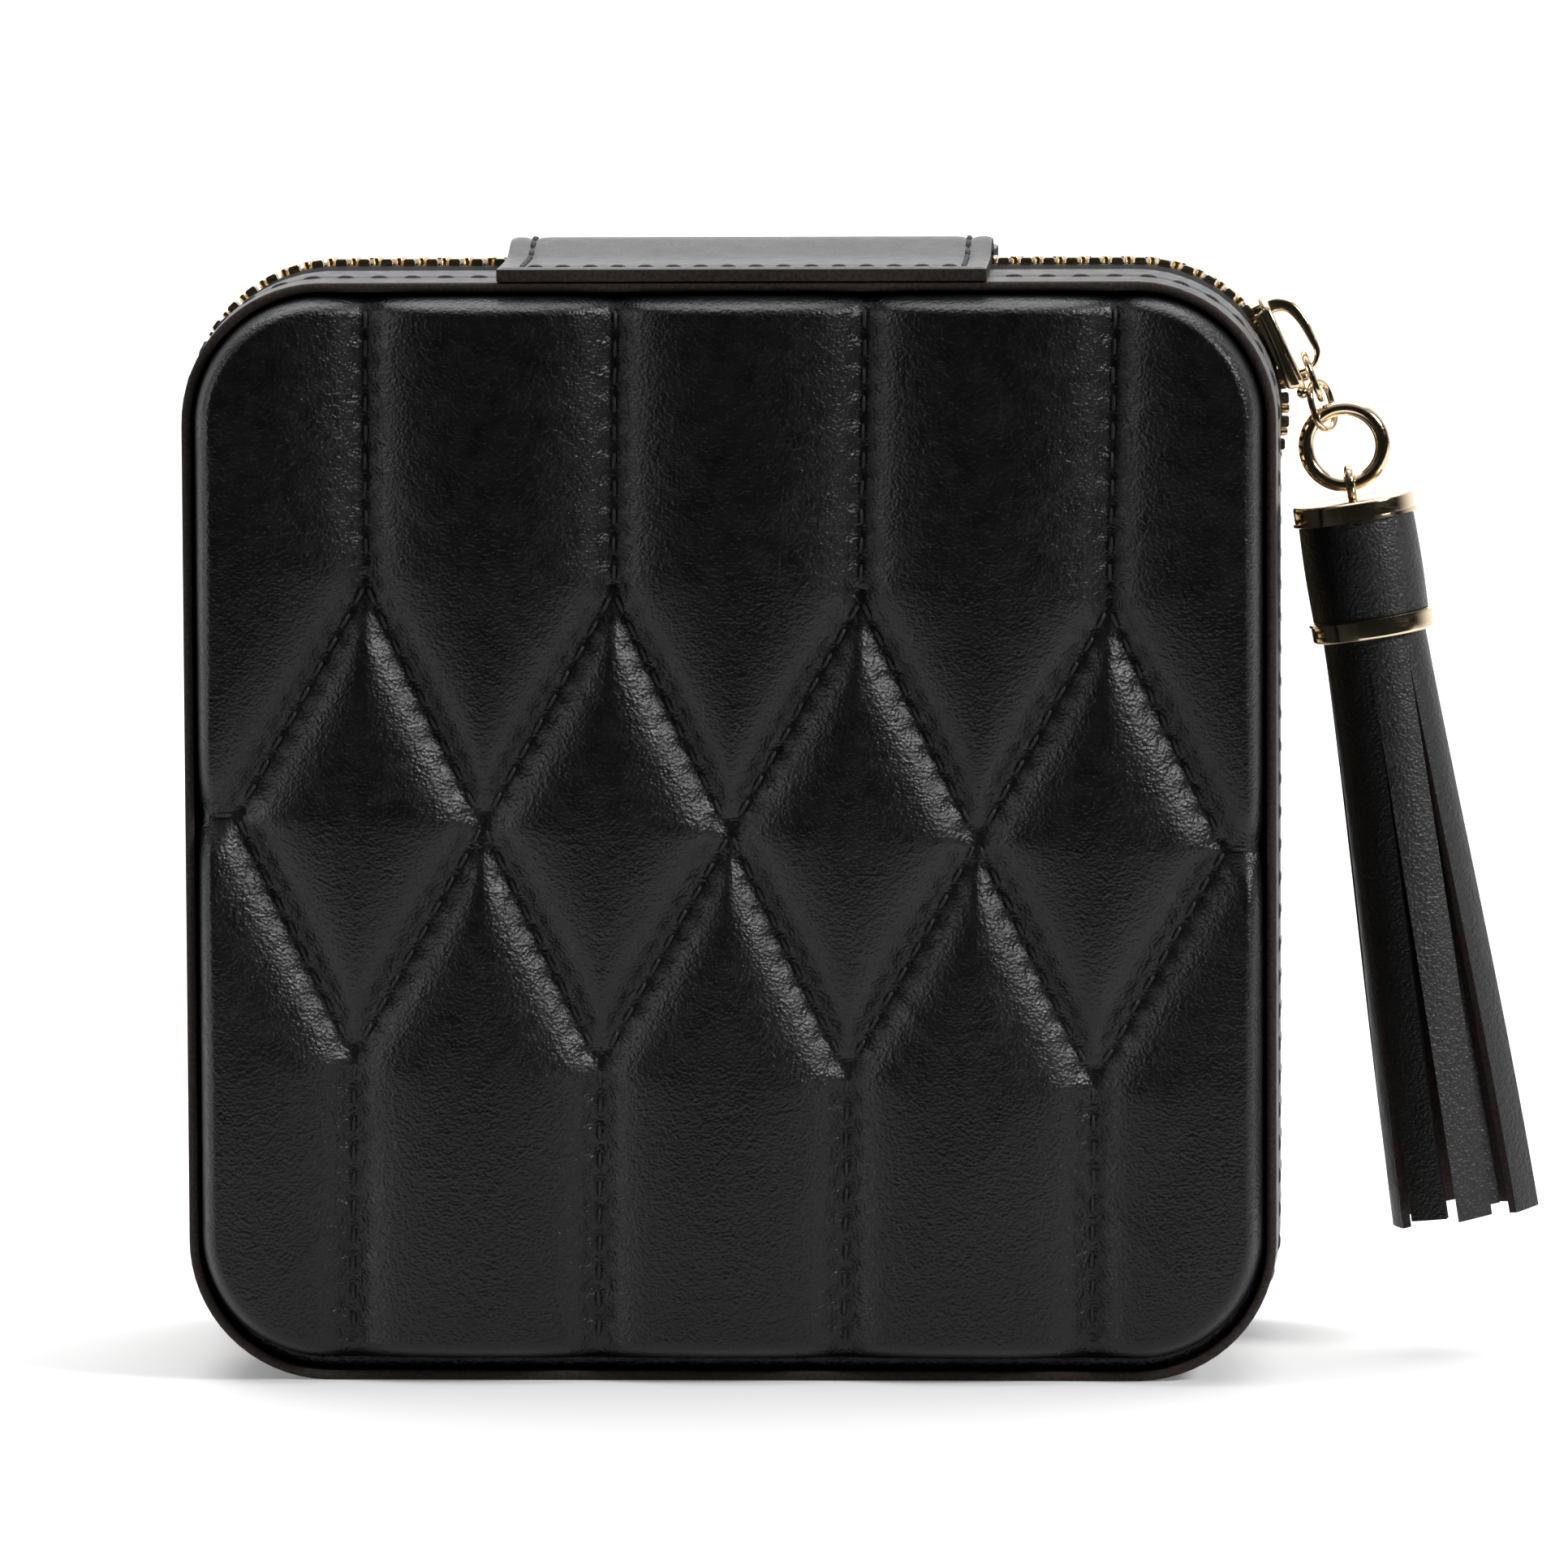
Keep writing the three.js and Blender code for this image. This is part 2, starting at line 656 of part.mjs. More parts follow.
// A turned piece on the tassel's axis: the profile is [radius, distance below the cap's top].
function turned(profile) {
  const points = profile.map(([r, down]) => new THREE.Vector2(r, -down));
  return new THREE.LatheGeometry(points, TURNED_STEPS)
    .rotateX(Math.PI / 2)
    .rotateY(-radians(TASSEL_LEAN))
    .translate(CAP_TOP[0], 0, CAP_TOP[1]);
}

function capBand(from) {
  const [r, to] = [CAP_RADIUS + CAP_BAND_PROUD, from + CAP_BAND];
  const bore = CAP_RADIUS - CAP_WALL;
  return turned([[bore, to], [r, to], [r, from], [bore, from], [bore, to]]);
}

// The top band is closed above, and an eye soldered on it holds the ring's wire.
function capTopBand() {
  const r = CAP_RADIUS + CAP_BAND_PROUD;
  const eye = new THREE.TorusGeometry(EYE_RADIUS, EYE_WIRE, WIRE_SIDES, 2 * WIRE_SIDES)
    .rotateY(Math.PI / 2)
    .translate(0, 0, EYE_RISE)
    .rotateY(-radians(TASSEL_LEAN))
    .translate(CAP_TOP[0], 0, CAP_TOP[1]);
  return join(turned([[0, CAP_BAND], [r, CAP_BAND], [r, CAP_BEVEL], [r - CAP_BEVEL, 0], [0, 0]]), eye);
}

function capSleeve() {
  const from = CAP_BAND + GAP;
  return turned([[0, from + CAP_SLEEVE], [CAP_RADIUS, from + CAP_SLEEVE], [CAP_RADIUS, from], [0, from]]);
}

function fringe() {
  const from = 2 * CAP_BAND + CAP_SLEEVE + 3 * GAP;
  const foot = from + FRINGE_LENGTH;
  return turned([[0, foot], [FRINGE_FOOT_RADIUS, foot], [FRINGE_TOP_RADIUS, from], [0, from]]);
}

// ---- assembly ----

const part = new THREE.Group();
const jewelleryCase = new THREE.Group();
jewelleryCase.position.y = -STAND_Y;
part.add(jewelleryCase);

function add(name, finish, geometry, parent = jewelleryCase) {
  const mesh = new THREE.Mesh(geometry, new THREE.MeshStandardMaterial(finishes[finish]));
  mesh.name = name;
  parent.add(mesh);
}

function addBase() {
  add("back_cover", "leather", backCover());
  add("back_board", "board", backBoard());
  add("base_wall_leather", "leather", wallLeather(BASE, BASE_DEPTH));
  add("base_wall_board", "board", wallBoard(BASE, BASE_DEPTH));
  add("base_zip_tape", "tape", sweep(zipRun(), BASE, plainTape, false));
  add("base_zip_teeth", "gold", sweep(zipRun(), BASE, teethSection, false));
  add("zip_bottom_stop", "gold", zipStop(ZIP_START_X + STOP_LENGTH / 2 + GAP));
  add("zip_top_stop", "gold", zipStop(ZIP_END_X - STOP_LENGTH / 2 - GAP));
  add("base_lining", "velvet", liningTray(BASE, BASE_FLOOR));
  add("hinge_leaf_base", "leather", patchLeaf(BASE, BASE_DEPTH));
}

function addBaseFittings() {
  const wall = LINING_OUTER - LINING - GAP;
  const halfWidth = CASE_WIDTH / 2 + wall;
  const foot = -wall;
  const head = CASE_HEIGHT + wall;
  for (let i = 0; i < ROLLS; i++) {
    add(`ring_roll_${i + 1}`, "velvet", ringRoll(foot + ROLL_WIDTH / 2 + i * ROLL_PITCH));
  }
  const lowTop = CROSS_DIVIDER_Z - DIVIDER / 2 - GAP;
  const highFoot = CROSS_DIVIDER_Z + DIVIDER / 2 + GAP;
  add("cross_divider", "velvet", divider(2 * halfWidth, DIVIDER, 0, CROSS_DIVIDER_Z));
  add("lower_divider", "velvet", divider(DIVIDER, lowTop - foot, 0, (lowTop + foot) / 2));
  add("upper_divider", "velvet", divider(DIVIDER, head - highFoot, 0, (head + highFoot) / 2));
}

function addLid() {
  add("quilted_cover", "leather", quiltedCover());
  add("lid_foam", "foam", lidFoam());
  add("lid_board", "board", lidBoard());
  add("lid_wall_leather", "leather", wallLeather(LID, LID_DEPTH));
  add("lid_wall_board", "board", wallBoard(LID, LID_DEPTH));
  add("lid_zip_tape", "tape", sweep(zipRun(), LID, notchedTape, false));
  add("lid_zip_teeth", "gold", sweep(zipRunBeforeSlider(), LID, teethSection, false));
  add("lid_zip_teeth_end", "gold", sweep(zipRunAfterSlider(), LID, teethSection, false));
  add("lid_lining", "velvet", liningTray(LID, LID_FLOOR));
  add("mirror", "mirror", mirrorGlass());
  add("mirror_frame", "leather", mirrorFrame());
  add("lid_pocket", "velvet", lidPocket());
  add("hinge_leaf_lid", "leather", patchLeaf(LID, LID_DEPTH));
}

function addSlider() {
  const seat = new THREE.Group();
  seat.position.set(RIGHT_CENTRE[0], 0, RIGHT_CENTRE[1]);
  seat.rotation.y = -radians(SLIDER_ANGLE);
  add("zip_slider", "gold", slider(), seat);
  jewelleryCase.add(seat);
}

function addTassel() {
  const inBridge = BRIDGE_HOOK + LINK_WIRE;
  const inLink = LINK_HOOK + LINK_WIRE;
  const underRing = RING_HOOK + LINK_WIRE;
  const link1 = hungLink(LINK_1_SPAN, LINK_1_TWIST, LINK_1_TOP, LINK_1_FOOT, inBridge, inLink);
  const link2 = hungLink(LINK_2_SPAN, LINK_2_TWIST, LINK_1_FOOT, LINK_2_FOOT, inLink, underRing);
  const ring = new THREE.TorusGeometry(RING_RADIUS, RING_WIRE, 10, 28).rotateX(Math.PI / 2);
  add("link_1", "gold", link1);
  add("link_2", "gold", link2);
  add("tassel_ring", "gold", ring.translate(RING_CENTRE[0], 0, RING_CENTRE[1]));
  add("cap_top_band", "gold", capTopBand());
  add("cap_sleeve", "leather", capSleeve());
  add("cap_lower_band", "gold", capBand(CAP_BAND + CAP_SLEEVE + 2 * GAP));
  add("tassel_fringe", "leather", fringe());
}

addBase();
addBaseFittings();
addLid();
addSlider();
addTassel();

export default part;
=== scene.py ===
"""The looks of a zip-around leather jewellery case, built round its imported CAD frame.

Shapes are worked out in millimetres about the zip plane: X to the right, Y from the lid to the
back and Z up, with y = 0 at the zip. to_frame() turns them into the frame's metres.
"""
import json
import math

import bmesh
import bpy
import numpy as np
from mathutils import Matrix, Vector


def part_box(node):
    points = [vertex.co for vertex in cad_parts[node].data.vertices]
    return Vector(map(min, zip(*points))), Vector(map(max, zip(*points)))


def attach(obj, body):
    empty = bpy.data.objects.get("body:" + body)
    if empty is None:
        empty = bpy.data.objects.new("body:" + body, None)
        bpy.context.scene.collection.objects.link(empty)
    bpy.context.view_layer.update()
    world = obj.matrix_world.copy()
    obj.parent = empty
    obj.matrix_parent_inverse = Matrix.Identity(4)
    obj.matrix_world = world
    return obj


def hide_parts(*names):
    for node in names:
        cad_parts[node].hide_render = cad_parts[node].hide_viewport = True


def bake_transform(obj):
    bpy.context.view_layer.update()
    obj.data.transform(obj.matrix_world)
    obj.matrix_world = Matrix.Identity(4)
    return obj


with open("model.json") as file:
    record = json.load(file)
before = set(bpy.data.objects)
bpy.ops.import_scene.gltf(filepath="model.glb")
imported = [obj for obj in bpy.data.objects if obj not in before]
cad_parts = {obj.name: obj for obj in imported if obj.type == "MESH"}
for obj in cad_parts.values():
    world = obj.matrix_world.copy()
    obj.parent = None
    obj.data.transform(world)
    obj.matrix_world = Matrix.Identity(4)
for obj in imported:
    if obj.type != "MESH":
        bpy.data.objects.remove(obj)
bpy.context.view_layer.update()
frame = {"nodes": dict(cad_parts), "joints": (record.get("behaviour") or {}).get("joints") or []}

MM = 0.001
JOINTS = {joint["name"]: joint for joint in frame["joints"]}
LID, BASE = -1, 1

# ---- driving dimensions, in millimetres ----

ZIP_Y = JOINTS["lid_hinge"]["pos_m"][1] / MM


def node_box(node):
    """Lowest and highest corner of a CAD node, in millimetres about the zip plane."""
    low, high = (np.array(corner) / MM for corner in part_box(node))
    return low - [0, ZIP_Y, 0], high - [0, ZIP_Y, 0]


def pivot(joint):
    """A joint's [x, z] in the zip plane."""
    place = np.array(JOINTS[joint]["pos_m"]) / MM
    return place[[0, 2]]


WALL_LOW, WALL_HIGH = node_box("lid_wall_leather")
CROWN = 0.5
HALF_WIDTH = WALL_HIGH[0] - CROWN
HEIGHT = WALL_HIGH[2] - CROWN
LID_DEPTH = -WALL_LOW[1]
BASE_DEPTH = node_box("base_wall_leather")[1][1]
CORNER_CENTRE = pivot("zip_slider_run")
RADIUS = HALF_WIDTH - CORNER_CENTRE[0]
WALL_EDGE = 9.0            # from the zip's middle to the folded edge of a wall
LEATHER = 1.1              # its thickness
ZIP_BULGE = 1.7            # how far the zip stands out over the top
TEETH_OUTER = ZIP_BULGE - 0.15
TEETH_HEIGHT = 2.2
TOOTH_PITCH = 2.7
COVER_INSET = 1.4          # from the outline to the quilted panel's edge
COVER_FOOT_INSET = 2.5     # the same at the foot
THREAD = 0.27              # radius
FOOT_SINK = 0.45           # how far stitches are sunk along the flat foot
ZIP_SINKS_FROM = 103.0     # height at which the zip is level with the outline on the sides
ZIP_SINKS_TO = 112.0       # height above which it has its whole bulge
SLIDER_ANGLE = math.radians(JOINTS["zip_slider_run"]["range_deg"][1])
TASSEL_LEAN = math.radians(8.9)
RANDOM = np.random.default_rng(7)


def full_turn(steps):
    """Angles all the way round, without the last, which is the first."""
    return np.linspace(0, 2 * math.pi, steps, endpoint=False)


def to_frame(points):
    points = np.asarray(points, float)
    return (points + [0, ZIP_Y, 0]) * MM


# ---- mesh building ----


def strip_faces(rows, columns, wrap_rows, wrap_columns):
    """Quads of a grid of points, row by row, which may close on itself either way."""
    r = np.arange(rows if wrap_rows else rows - 1)
    c = np.arange(columns if wrap_columns else columns - 1)
    r, c = (a.ravel() for a in np.meshgrid(r, c, indexing="ij"))
    r2, c2 = (r + 1) % rows, (c + 1) % columns
    corners = [r * columns + c, r2 * columns + c, r2 * columns + c2, r * columns + c2]
    return np.stack(corners, 1).tolist()


class Build:
    """Collects parts of one object, in millimetres about the zip plane."""

    def __init__(self):
        self.points, self.faces, self.marks, self.uv = [], [], [], []
        self.count = 0

    def add(self, points, faces, mark=0, uv=None):
        points = np.asarray(points, float).reshape(-1, 3)
        marks = mark if hasattr(mark, "__len__") else [mark] * len(faces)
        self.faces += [[i + self.count for i in face] for face in faces]
        self.marks += list(marks)
        self.points.append(points)
        self.uv.append(np.zeros((len(points), 2)) if uv is None else np.asarray(uv, float))
        self.count += len(points)

    def rings(self, rings, closed=False, marks=None, uv=None, cap_mark=0):
        """Joins rings of points; marks gives the material of each step of a ring."""
        rings = np.asarray(rings, float)
        rows, columns = rings.shape[:2]
        faces = strip_faces(rows, columns, closed, True)
        face_marks = [marks[i % columns] if marks else 0 for i in range(len(faces))]
        if not closed:
            faces.append(list(range(columns))[::-1])
            faces.append([(rows - 1) * columns + i for i in range(columns)])
            face_marks += [cap_mark, cap_mark]
        self.add(rings.reshape(-1, 3), faces, face_marks, uv)

    def object(self, name, materials, body, replaces=(), sharp=None):
        """Makes the object; edges that turn by more than sharp degrees are shaded sharp."""
        points = to_frame(np.concatenate(self.points))
        mesh = bpy.data.meshes.new(name)
        mesh.from_pydata(points.tolist(), [], self.faces)
        mesh.polygons.foreach_set("material_index", np.array(self.marks, np.int32))
        mesh.polygons.foreach_set("use_smooth", np.full(len(self.faces), True))
        uv = np.concatenate(self.uv)
        loops = np.zeros(len(mesh.loops), np.int32)
        mesh.loops.foreach_get("vertex_index", loops)
        layer = mesh.uv_layers.new(name="UVMap")
        layer.data.foreach_set("uv", uv[loops].astype(np.float32).ravel())
        for material in materials:
            mesh.materials.append(material)
        outward(mesh)
        if sharp:
            mesh.set_sharp_from_angle(angle=math.radians(sharp))
        piece = bpy.data.objects.new(name, mesh)
        bpy.context.scene.collection.objects.link(piece)
        if body:
            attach(piece, body)
        if replaces:
            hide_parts(*replaces)
        return piece


def outward(mesh):
    """Turns every closed shell's faces outward."""
    b = bmesh.new()
    b.from_mesh(mesh)
    bmesh.ops.recalc_face_normals(b, faces=b.faces)
    b.to_mesh(mesh)
    b.free()


# ---- the case's outline ----

ARC = RADIUS * math.pi / 2
HALF_TOP = HALF_WIDTH - RADIUS
SIDE = HEIGHT - 2 * RADIUS
ROUND = 4 * HALF_TOP + 2 * SIDE + 4 * ARC


def outline_at(distance):
    """Points [x, z] and outward normals on the outline, from the top middle round by the left."""
    s = np.asarray(distance, float) % ROUND
    top, foot = HEIGHT - RADIUS, RADIUS
    runs = [
        (HALF_TOP, (0, HEIGHT), (-1, 0), None),
        (ARC, (-HALF_TOP, top), 90, True),
        (SIDE, (-HALF_WIDTH, top), (0, -1), None),
        (ARC, (-HALF_TOP, foot), 180, True),
        (2 * HALF_TOP, (-HALF_TOP, 0), (1, 0), None),
        (ARC, (HALF_TOP, foot), 270, True),
        (SIDE, (HALF_WIDTH, foot), (0, 1), None),
        (ARC, (HALF_TOP, top), 0, True),
        (HALF_TOP, (HALF_TOP, HEIGHT), (-1, 0), None),
    ]
    place, normal = np.zeros(s.shape + (2,)), np.zeros(s.shape + (2,))
    start = 0.0
    for length, origin, way, arc in runs:
        here = (s >= start) & (s <= start + length + 1e-9)
        along = (s[here] - start)[:, None]
        if arc:
            angle = math.radians(way) + along / RADIUS
            direction = np.concatenate([np.cos(angle), np.sin(angle)], 1)
            place[here] = np.array(origin) + RADIUS * direction
            normal[here] = direction
        else:
            place[here] = np.array(origin) + along * np.array(way)
            normal[here] = (way[1], -way[0])
        start += length
    return place, normal


def round_stations(step=1.6):
    """Distances round the whole outline, close enough together for its arcs."""
    return np.linspace(0, ROUND, int(ROUND / step), endpoint=False)


def bulge(normal):
    """1 on the sides and top, falling to 0 on the flat foot."""
    return np.minimum(1, 1 + normal[:, 1])


def zip_bulge(place, normal):
    """How much of its bulge the zip has: all of it over the top, none low on the sides."""
    t = np.clip((place[:, 1] - ZIP_SINKS_FROM) / (ZIP_SINKS_TO - ZIP_SINKS_FROM), 0, 1)
    return bulge(normal) * t * t * (3 - 2 * t)


def swept_rings(distances, side, section, zip_sinks=False):
    """A ring of points at each distance; section(bulge, distance) gives [out, depth] points."""
    place, normal = outline_at(distances)
    rise = zip_bulge(place, normal) if zip_sinks else bulge(normal)
    rings = []
    for p, n, b, s in zip(place, normal, rise, distances):
        out, depth = np.asarray(section(b, s)).T
        rings.append(np.stack([p[0] + n[0] * out, side * depth, p[1] + n[1] * out], 1))
    return np.array(rings)


def sweep_uv(distances, ring):
    """UV in millimetres: along the sweep, and round its section."""
    gaps = np.linalg.norm(np.diff(ring, axis=0), axis=1)
    across = np.concatenate([[0], np.cumsum(gaps)])
    pairs = np.broadcast_arrays(np.asarray(distances)[:, None], across[None, :])
    return np.stack(pairs, 2).reshape(-1, 2)


# ---- threads ----

STITCH = np.linspace(-1, 1, 7)


def stitch(build, centre, along, up, length, radius=THREAD, dip=0.45, mark=0):
    """One stitch: a short thread that rises from one hole and goes down into the next."""
    along, up = (np.asarray(v, float) / np.linalg.norm(v) for v in (along, up))
    across = np.cross(up, along)
    rings = []
    for t in STITCH:
        lift = radius * 0.5 - dip * abs(t) ** 3
        middle = np.asarray(centre) + along * t * length / 2 + up * lift
        r = radius * (0.45 + 0.55 * math.sqrt(max(0.0, 1 - t**4)))
        angles = full_turn(8)
        rings.append(middle + r * (np.outer(np.cos(angles), across) + np.outer(np.sin(angles), up)))
    build.rings(rings, cap_mark=mark, marks=[mark] * 8)


def stitch_places(start, end, pitch):
    """The middle of each stitch from one point to another, with the way between the points."""
    a, b = np.array(start, float), np.array(end, float)
    count = round(np.linalg.norm(b - a) / pitch)
    return [(a + (b - a) * (k + 0.5) / count, b - a) for k in range(count)]


def wall_point(distance, side, depth, out):
    """A point at a distance round the wall, the way along it, and the way out."""
    place, normal = outline_at(np.array([distance]))
    rise = bulge(normal)[0]
    x, z = place[0] + normal[0] * (out * rise - FOOT_SINK * (1 - rise))
    tangent = np.array([-normal[0][1], 0, normal[0][0]])
    return np.array([x, side * depth, z]), tangent, np.array([normal[0][0], 0, normal[0][1]])


# ---- materials ----


class Nodes:
    """A material's node tree, with a Principled shader."""

    def __init__(self, name, **values):
        self.material = bpy.data.materials.new(name)
        self.material.use_nodes = True
        self.tree = self.material.node_tree
        self.shader = self.tree.nodes["Principled BSDF"]
        self.coordinates = self.tree.nodes.new("ShaderNodeTexCoord")
        for socket, value in values.items():
            self.shader.inputs[socket.replace("_", " ")].default_value = value

    def add(self, kind, links=None, **values):
        node = self.tree.nodes.new("ShaderNode" + kind)
        for name, value in values.items():
            if hasattr(node, name):
                setattr(node, name, value)
            else:
                node.inputs[name.replace("_", " ")].default_value = value
        for socket, source in (links or {}).items():
            self.tree.links.new(source, node.inputs[socket])
        return node

    def link(self, source, socket):
        self.tree.links.new(source, self.shader.inputs[socket])

    def place(self, stretch=(1, 1, 1), space="Object"):
        node = self.add("Mapping", {"Vector": self.coordinates.outputs[space]})
        node.inputs["Scale"].default_value = stretch
        return node.outputs["Vector"]

    def noise(self, scale, detail=4, roughness=0.55, distortion=0.0, stretch=(1, 1, 1)):
        node = self.add("TexNoise", {"Vector": self.place(stretch)}, Scale=scale, Detail=detail,
                        Roughness=roughness, Distortion=distortion)
        return node.outputs["Fac"]

    def ramp(self, source, low, high, start=0.3, end=0.7):
        node = self.add("ValToRGB", {"Fac": source})
        for element, place, colour in zip(node.color_ramp.elements, (start, end), (low, high)):
            element.position = place
            element.color = colour if hasattr(colour, "__len__") else (colour, colour, colour, 1)
        return node.outputs["Color"]

    def bump(self, height, strength, distance, onto=None):
        node = self.add("Bump", {"Height": height}, Strength=strength, Distance=distance)
        if onto is not None:
            self.tree.links.new(onto, node.inputs["Normal"])
        return node.outputs["Normal"]


def rgb(r, g, b):
    return (r, g, b, 1)


def leather(name, dark, light, roughness, grain=2300.0, grain_strength=0.36, specular=0.5):
    """Smooth-grain leather: fine pebbles, finer creases and slow changes of tone and gloss."""
    n = Nodes(name, Specular_IOR_Level=specular)
    n.link(n.ramp(n.noise(60, 5), dark, light), "Base Color")
    n.link(n.ramp(n.noise(420, 4), roughness - 0.05, roughness + 0.07), "Roughness")
    warp = n.noise(grain * 0.55, 3, 0.6, 0.8)
    cells = n.add("TexVoronoi", {"Vector": n.place((1, 1, 1.25))}, Scale=grain, feature="SMOOTH_F1")
    cells.inputs["Smoothness"].default_value = 0.7
    pebbles = n.bump(cells.outputs["Distance"], grain_strength, 0.0002)
    creases = n.bump(warp, grain_strength, 0.0003, pebbles)
    soft = n.bump(n.noise(110, 3), 0.13, 0.0006, creases)
    n.link(soft, "Normal")
    return n.material


def suede(name, dark, light, scale=2200.0):
    """A cut leather edge or its flesh side: brown, matt and fibrous."""
    n = Nodes(name, Roughness=0.9, Specular_IOR_Level=0.25)
    n.link(n.ramp(n.noise(scale, 6, 0.7), dark, light, 0.35, 0.68), "Base Color")
    n.link(n.bump(n.noise(scale * 1.4, 5, 0.7, 0.6), 0.6, 0.0002), "Normal")
    return n.material


def gold(name, colour=(0.7, 0.56, 0.385), roughness=0.12):
    n = Nodes(name, Metallic=1.0)
    n.link(n.ramp(n.noise(180, 3), rgb(*(0.93 * c for c in colour)), rgb(*colour)), "Base Color")
    brushed = n.noise(900, 4, stretch=(1, 1, 6))
    n.link(n.ramp(brushed, roughness - 0.04, roughness + 0.07), "Roughness")
    n.link(n.bump(n.noise(700, 3), 0.05, 0.0001), "Normal")
    return n.material


def thread(name, colour):
    """Waxed thread: matt, with the twist of its plies."""
    n = Nodes(name, Roughness=0.62, Specular_IOR_Level=0.35)
    dark = rgb(*(0.55 * c for c in colour))
    twist = n.add("TexWave", {"Vector": n.place()}, Scale=900.0, Distortion=4.0)
    n.link(n.ramp(twist.outputs["Fac"], dark, rgb(*colour), 0.2, 0.8), "Base Color")
    n.link(n.bump(twist.outputs["Fac"], 0.5, 0.0001), "Normal")
    return n.material


def woven(name, colour, rib_mm):
    """A tape with fine warp ribs along it, crossed by the weft. It reads the sweep's UV, in mm."""
    n = Nodes(name, Roughness=0.85, Specular_IOR_Level=0.3)
    ribs, weft = (
        n.add("TexWave", {"Vector": n.place(space="UV")},
              Scale=1 / rib_mm / share, bands_direction=way)
        for share, way in ((3.2, "Y"), (2.4, "X"))
    )
    weave = n.add("Math", operation="MULTIPLY")
    n.tree.links.new(ribs.outputs["Fac"], weave.inputs[0])
    n.tree.links.new(weft.outputs["Fac"], weave.inputs[1])
    dark = rgb(*(0.5 * c for c in colour))
    n.link(n.ramp(weave.outputs["Value"], dark, rgb(*colour), 0.1, 0.8), "Base Color")
    n.link(n.bump(weave.outputs["Value"], 0.6, 0.0002), "Normal")
    return n.material


def velvet(name, dark, light):
    n = Nodes(name, Roughness=0.95, Sheen_Weight=0.7, Sheen_Roughness=0.35, Specular_IOR_Level=0.15)
    n.shader.inputs["Sheen Tint"].default_value = rgb(0.55, 0.56, 0.6)
    n.link(n.ramp(n.noise(120, 4), dark, light), "Base Color")
    pile = n.bump(n.noise(3000, 3, 0.7), 0.45, 0.0002)
    n.link(n.bump(n.noise(160, 3), 0.25, 0.0005, pile), "Normal")
    return n.material


def matt(name, dark, light, scale, roughness=0.92, depth=0.0003):
    """Board or foam: speckled and matt."""
    n = Nodes(name, Roughness=roughness, Specular_IOR_Level=0.25)
    n.link(n.ramp(n.noise(scale, 6, 0.65), dark, light), "Base Color")
    n.link(n.bump(n.noise(scale * 2, 5), 0.5, depth), "Normal")
    return n.material


def mirror_glass(name):
    n = Nodes(name, Metallic=1.0)
    n.link(n.ramp(n.noise(30, 3), rgb(0.86, 0.89, 0.9), rgb(0.92, 0.94, 0.95)), "Base Color")
    n.link(n.ramp(n.noise(700, 5), 0.015, 0.04), "Roughness")
    return n.material


BLACK_TONES = rgb(0.0010, 0.0010, 0.0010), rgb(0.0018, 0.0017, 0.0017)
STRIP_TONES = rgb(0.0018, 0.0016, 0.0015), rgb(0.0034, 0.0030, 0.0028)
BLACK = leather("black_leather", *BLACK_TONES, 0.365, specular=0.34)
PATCH_BLACK = leather("patch_leather", *BLACK_TONES, 0.33, specular=0.55)
STRIP = leather("tassel_leather", *STRIP_TONES, 0.44, 2500, 0.45, 0.4)
RAW = suede("raw_leather_edge", rgb(0.010, 0.0068, 0.006), rgb(0.045, 0.030, 0.025))
FLESH = suede("suede_side", rgb(0.016, 0.011, 0.01), rgb(0.06, 0.038, 0.032))
GOLD = gold("light_gold")
TOOTH_GOLD = gold("zip_gold", (0.62, 0.485, 0.3), 0.22)
THREAD_BLACK = thread("black_thread", (0.016, 0.016, 0.019))
TAPE = woven("zip_tape", (0.014, 0.014, 0.016), 0.45)
VELVET = velvet("charcoal_velvet", rgb(0.035, 0.035, 0.04), rgb(0.06, 0.06, 0.066))
SATIN = velvet("pocket_fabric", rgb(0.045, 0.045, 0.052), rgb(0.075, 0.075, 0.082))
FIBREBOARD = matt("fibreboard", rgb(0.3, 0.25, 0.19), rgb(0.45, 0.38, 0.29), 900)
FOAM_CREAM = matt("cream_foam", rgb(0.68, 0.64, 0.54), rgb(0.84, 0.81, 0.72), 1800)
GLASS = mirror_glass("silvered_mirror")


# ---- camera, light and floor ----


CAMERA_PLACE = (0.0666, -1.3445, 0.2011)
CAMERA_TURN = (2.65, 5.725, -0.274)    # yaw, pitch and roll, in degrees
CAMERA_LENS = 256.4
SENSOR = 36
LIGHTS_AIM = (0, 0, 0.065)
FLOOR_HALF_WIDTH, FLOOR_FRONT, FLOOR_BACK = 4000, -190, 6000


def camera():
    """A long lens, a little above the case and to its right."""
    yaw, pitch, roll = (math.radians(a) for a in CAMERA_TURN)
    level = math.cos(pitch)
    forward = Vector((-math.sin(yaw) * level, math.cos(yaw) * level, -math.sin(pitch)))
    right = Vector((math.cos(yaw), math.sin(yaw), 0))
    up = right.cross(forward)
    right, up = (
        math.cos(roll) * right + math.sin(roll) * up,
        math.cos(roll) * up - math.sin(roll) * right,
    )
    data = bpy.data.cameras.new("camera")
    data.sensor_width = SENSOR
    data.lens = CAMERA_LENS
    data.clip_start, data.clip_end = 0.05, 60
    view = bpy.data.objects.new("camera", data)
    turn = Matrix((right, up, -forward)).transposed().to_4x4()
    view.matrix_world = Matrix.Translation(CAMERA_PLACE) @ turn
    bpy.context.scene.collection.objects.link(view)
    bpy.context.scene.camera = view


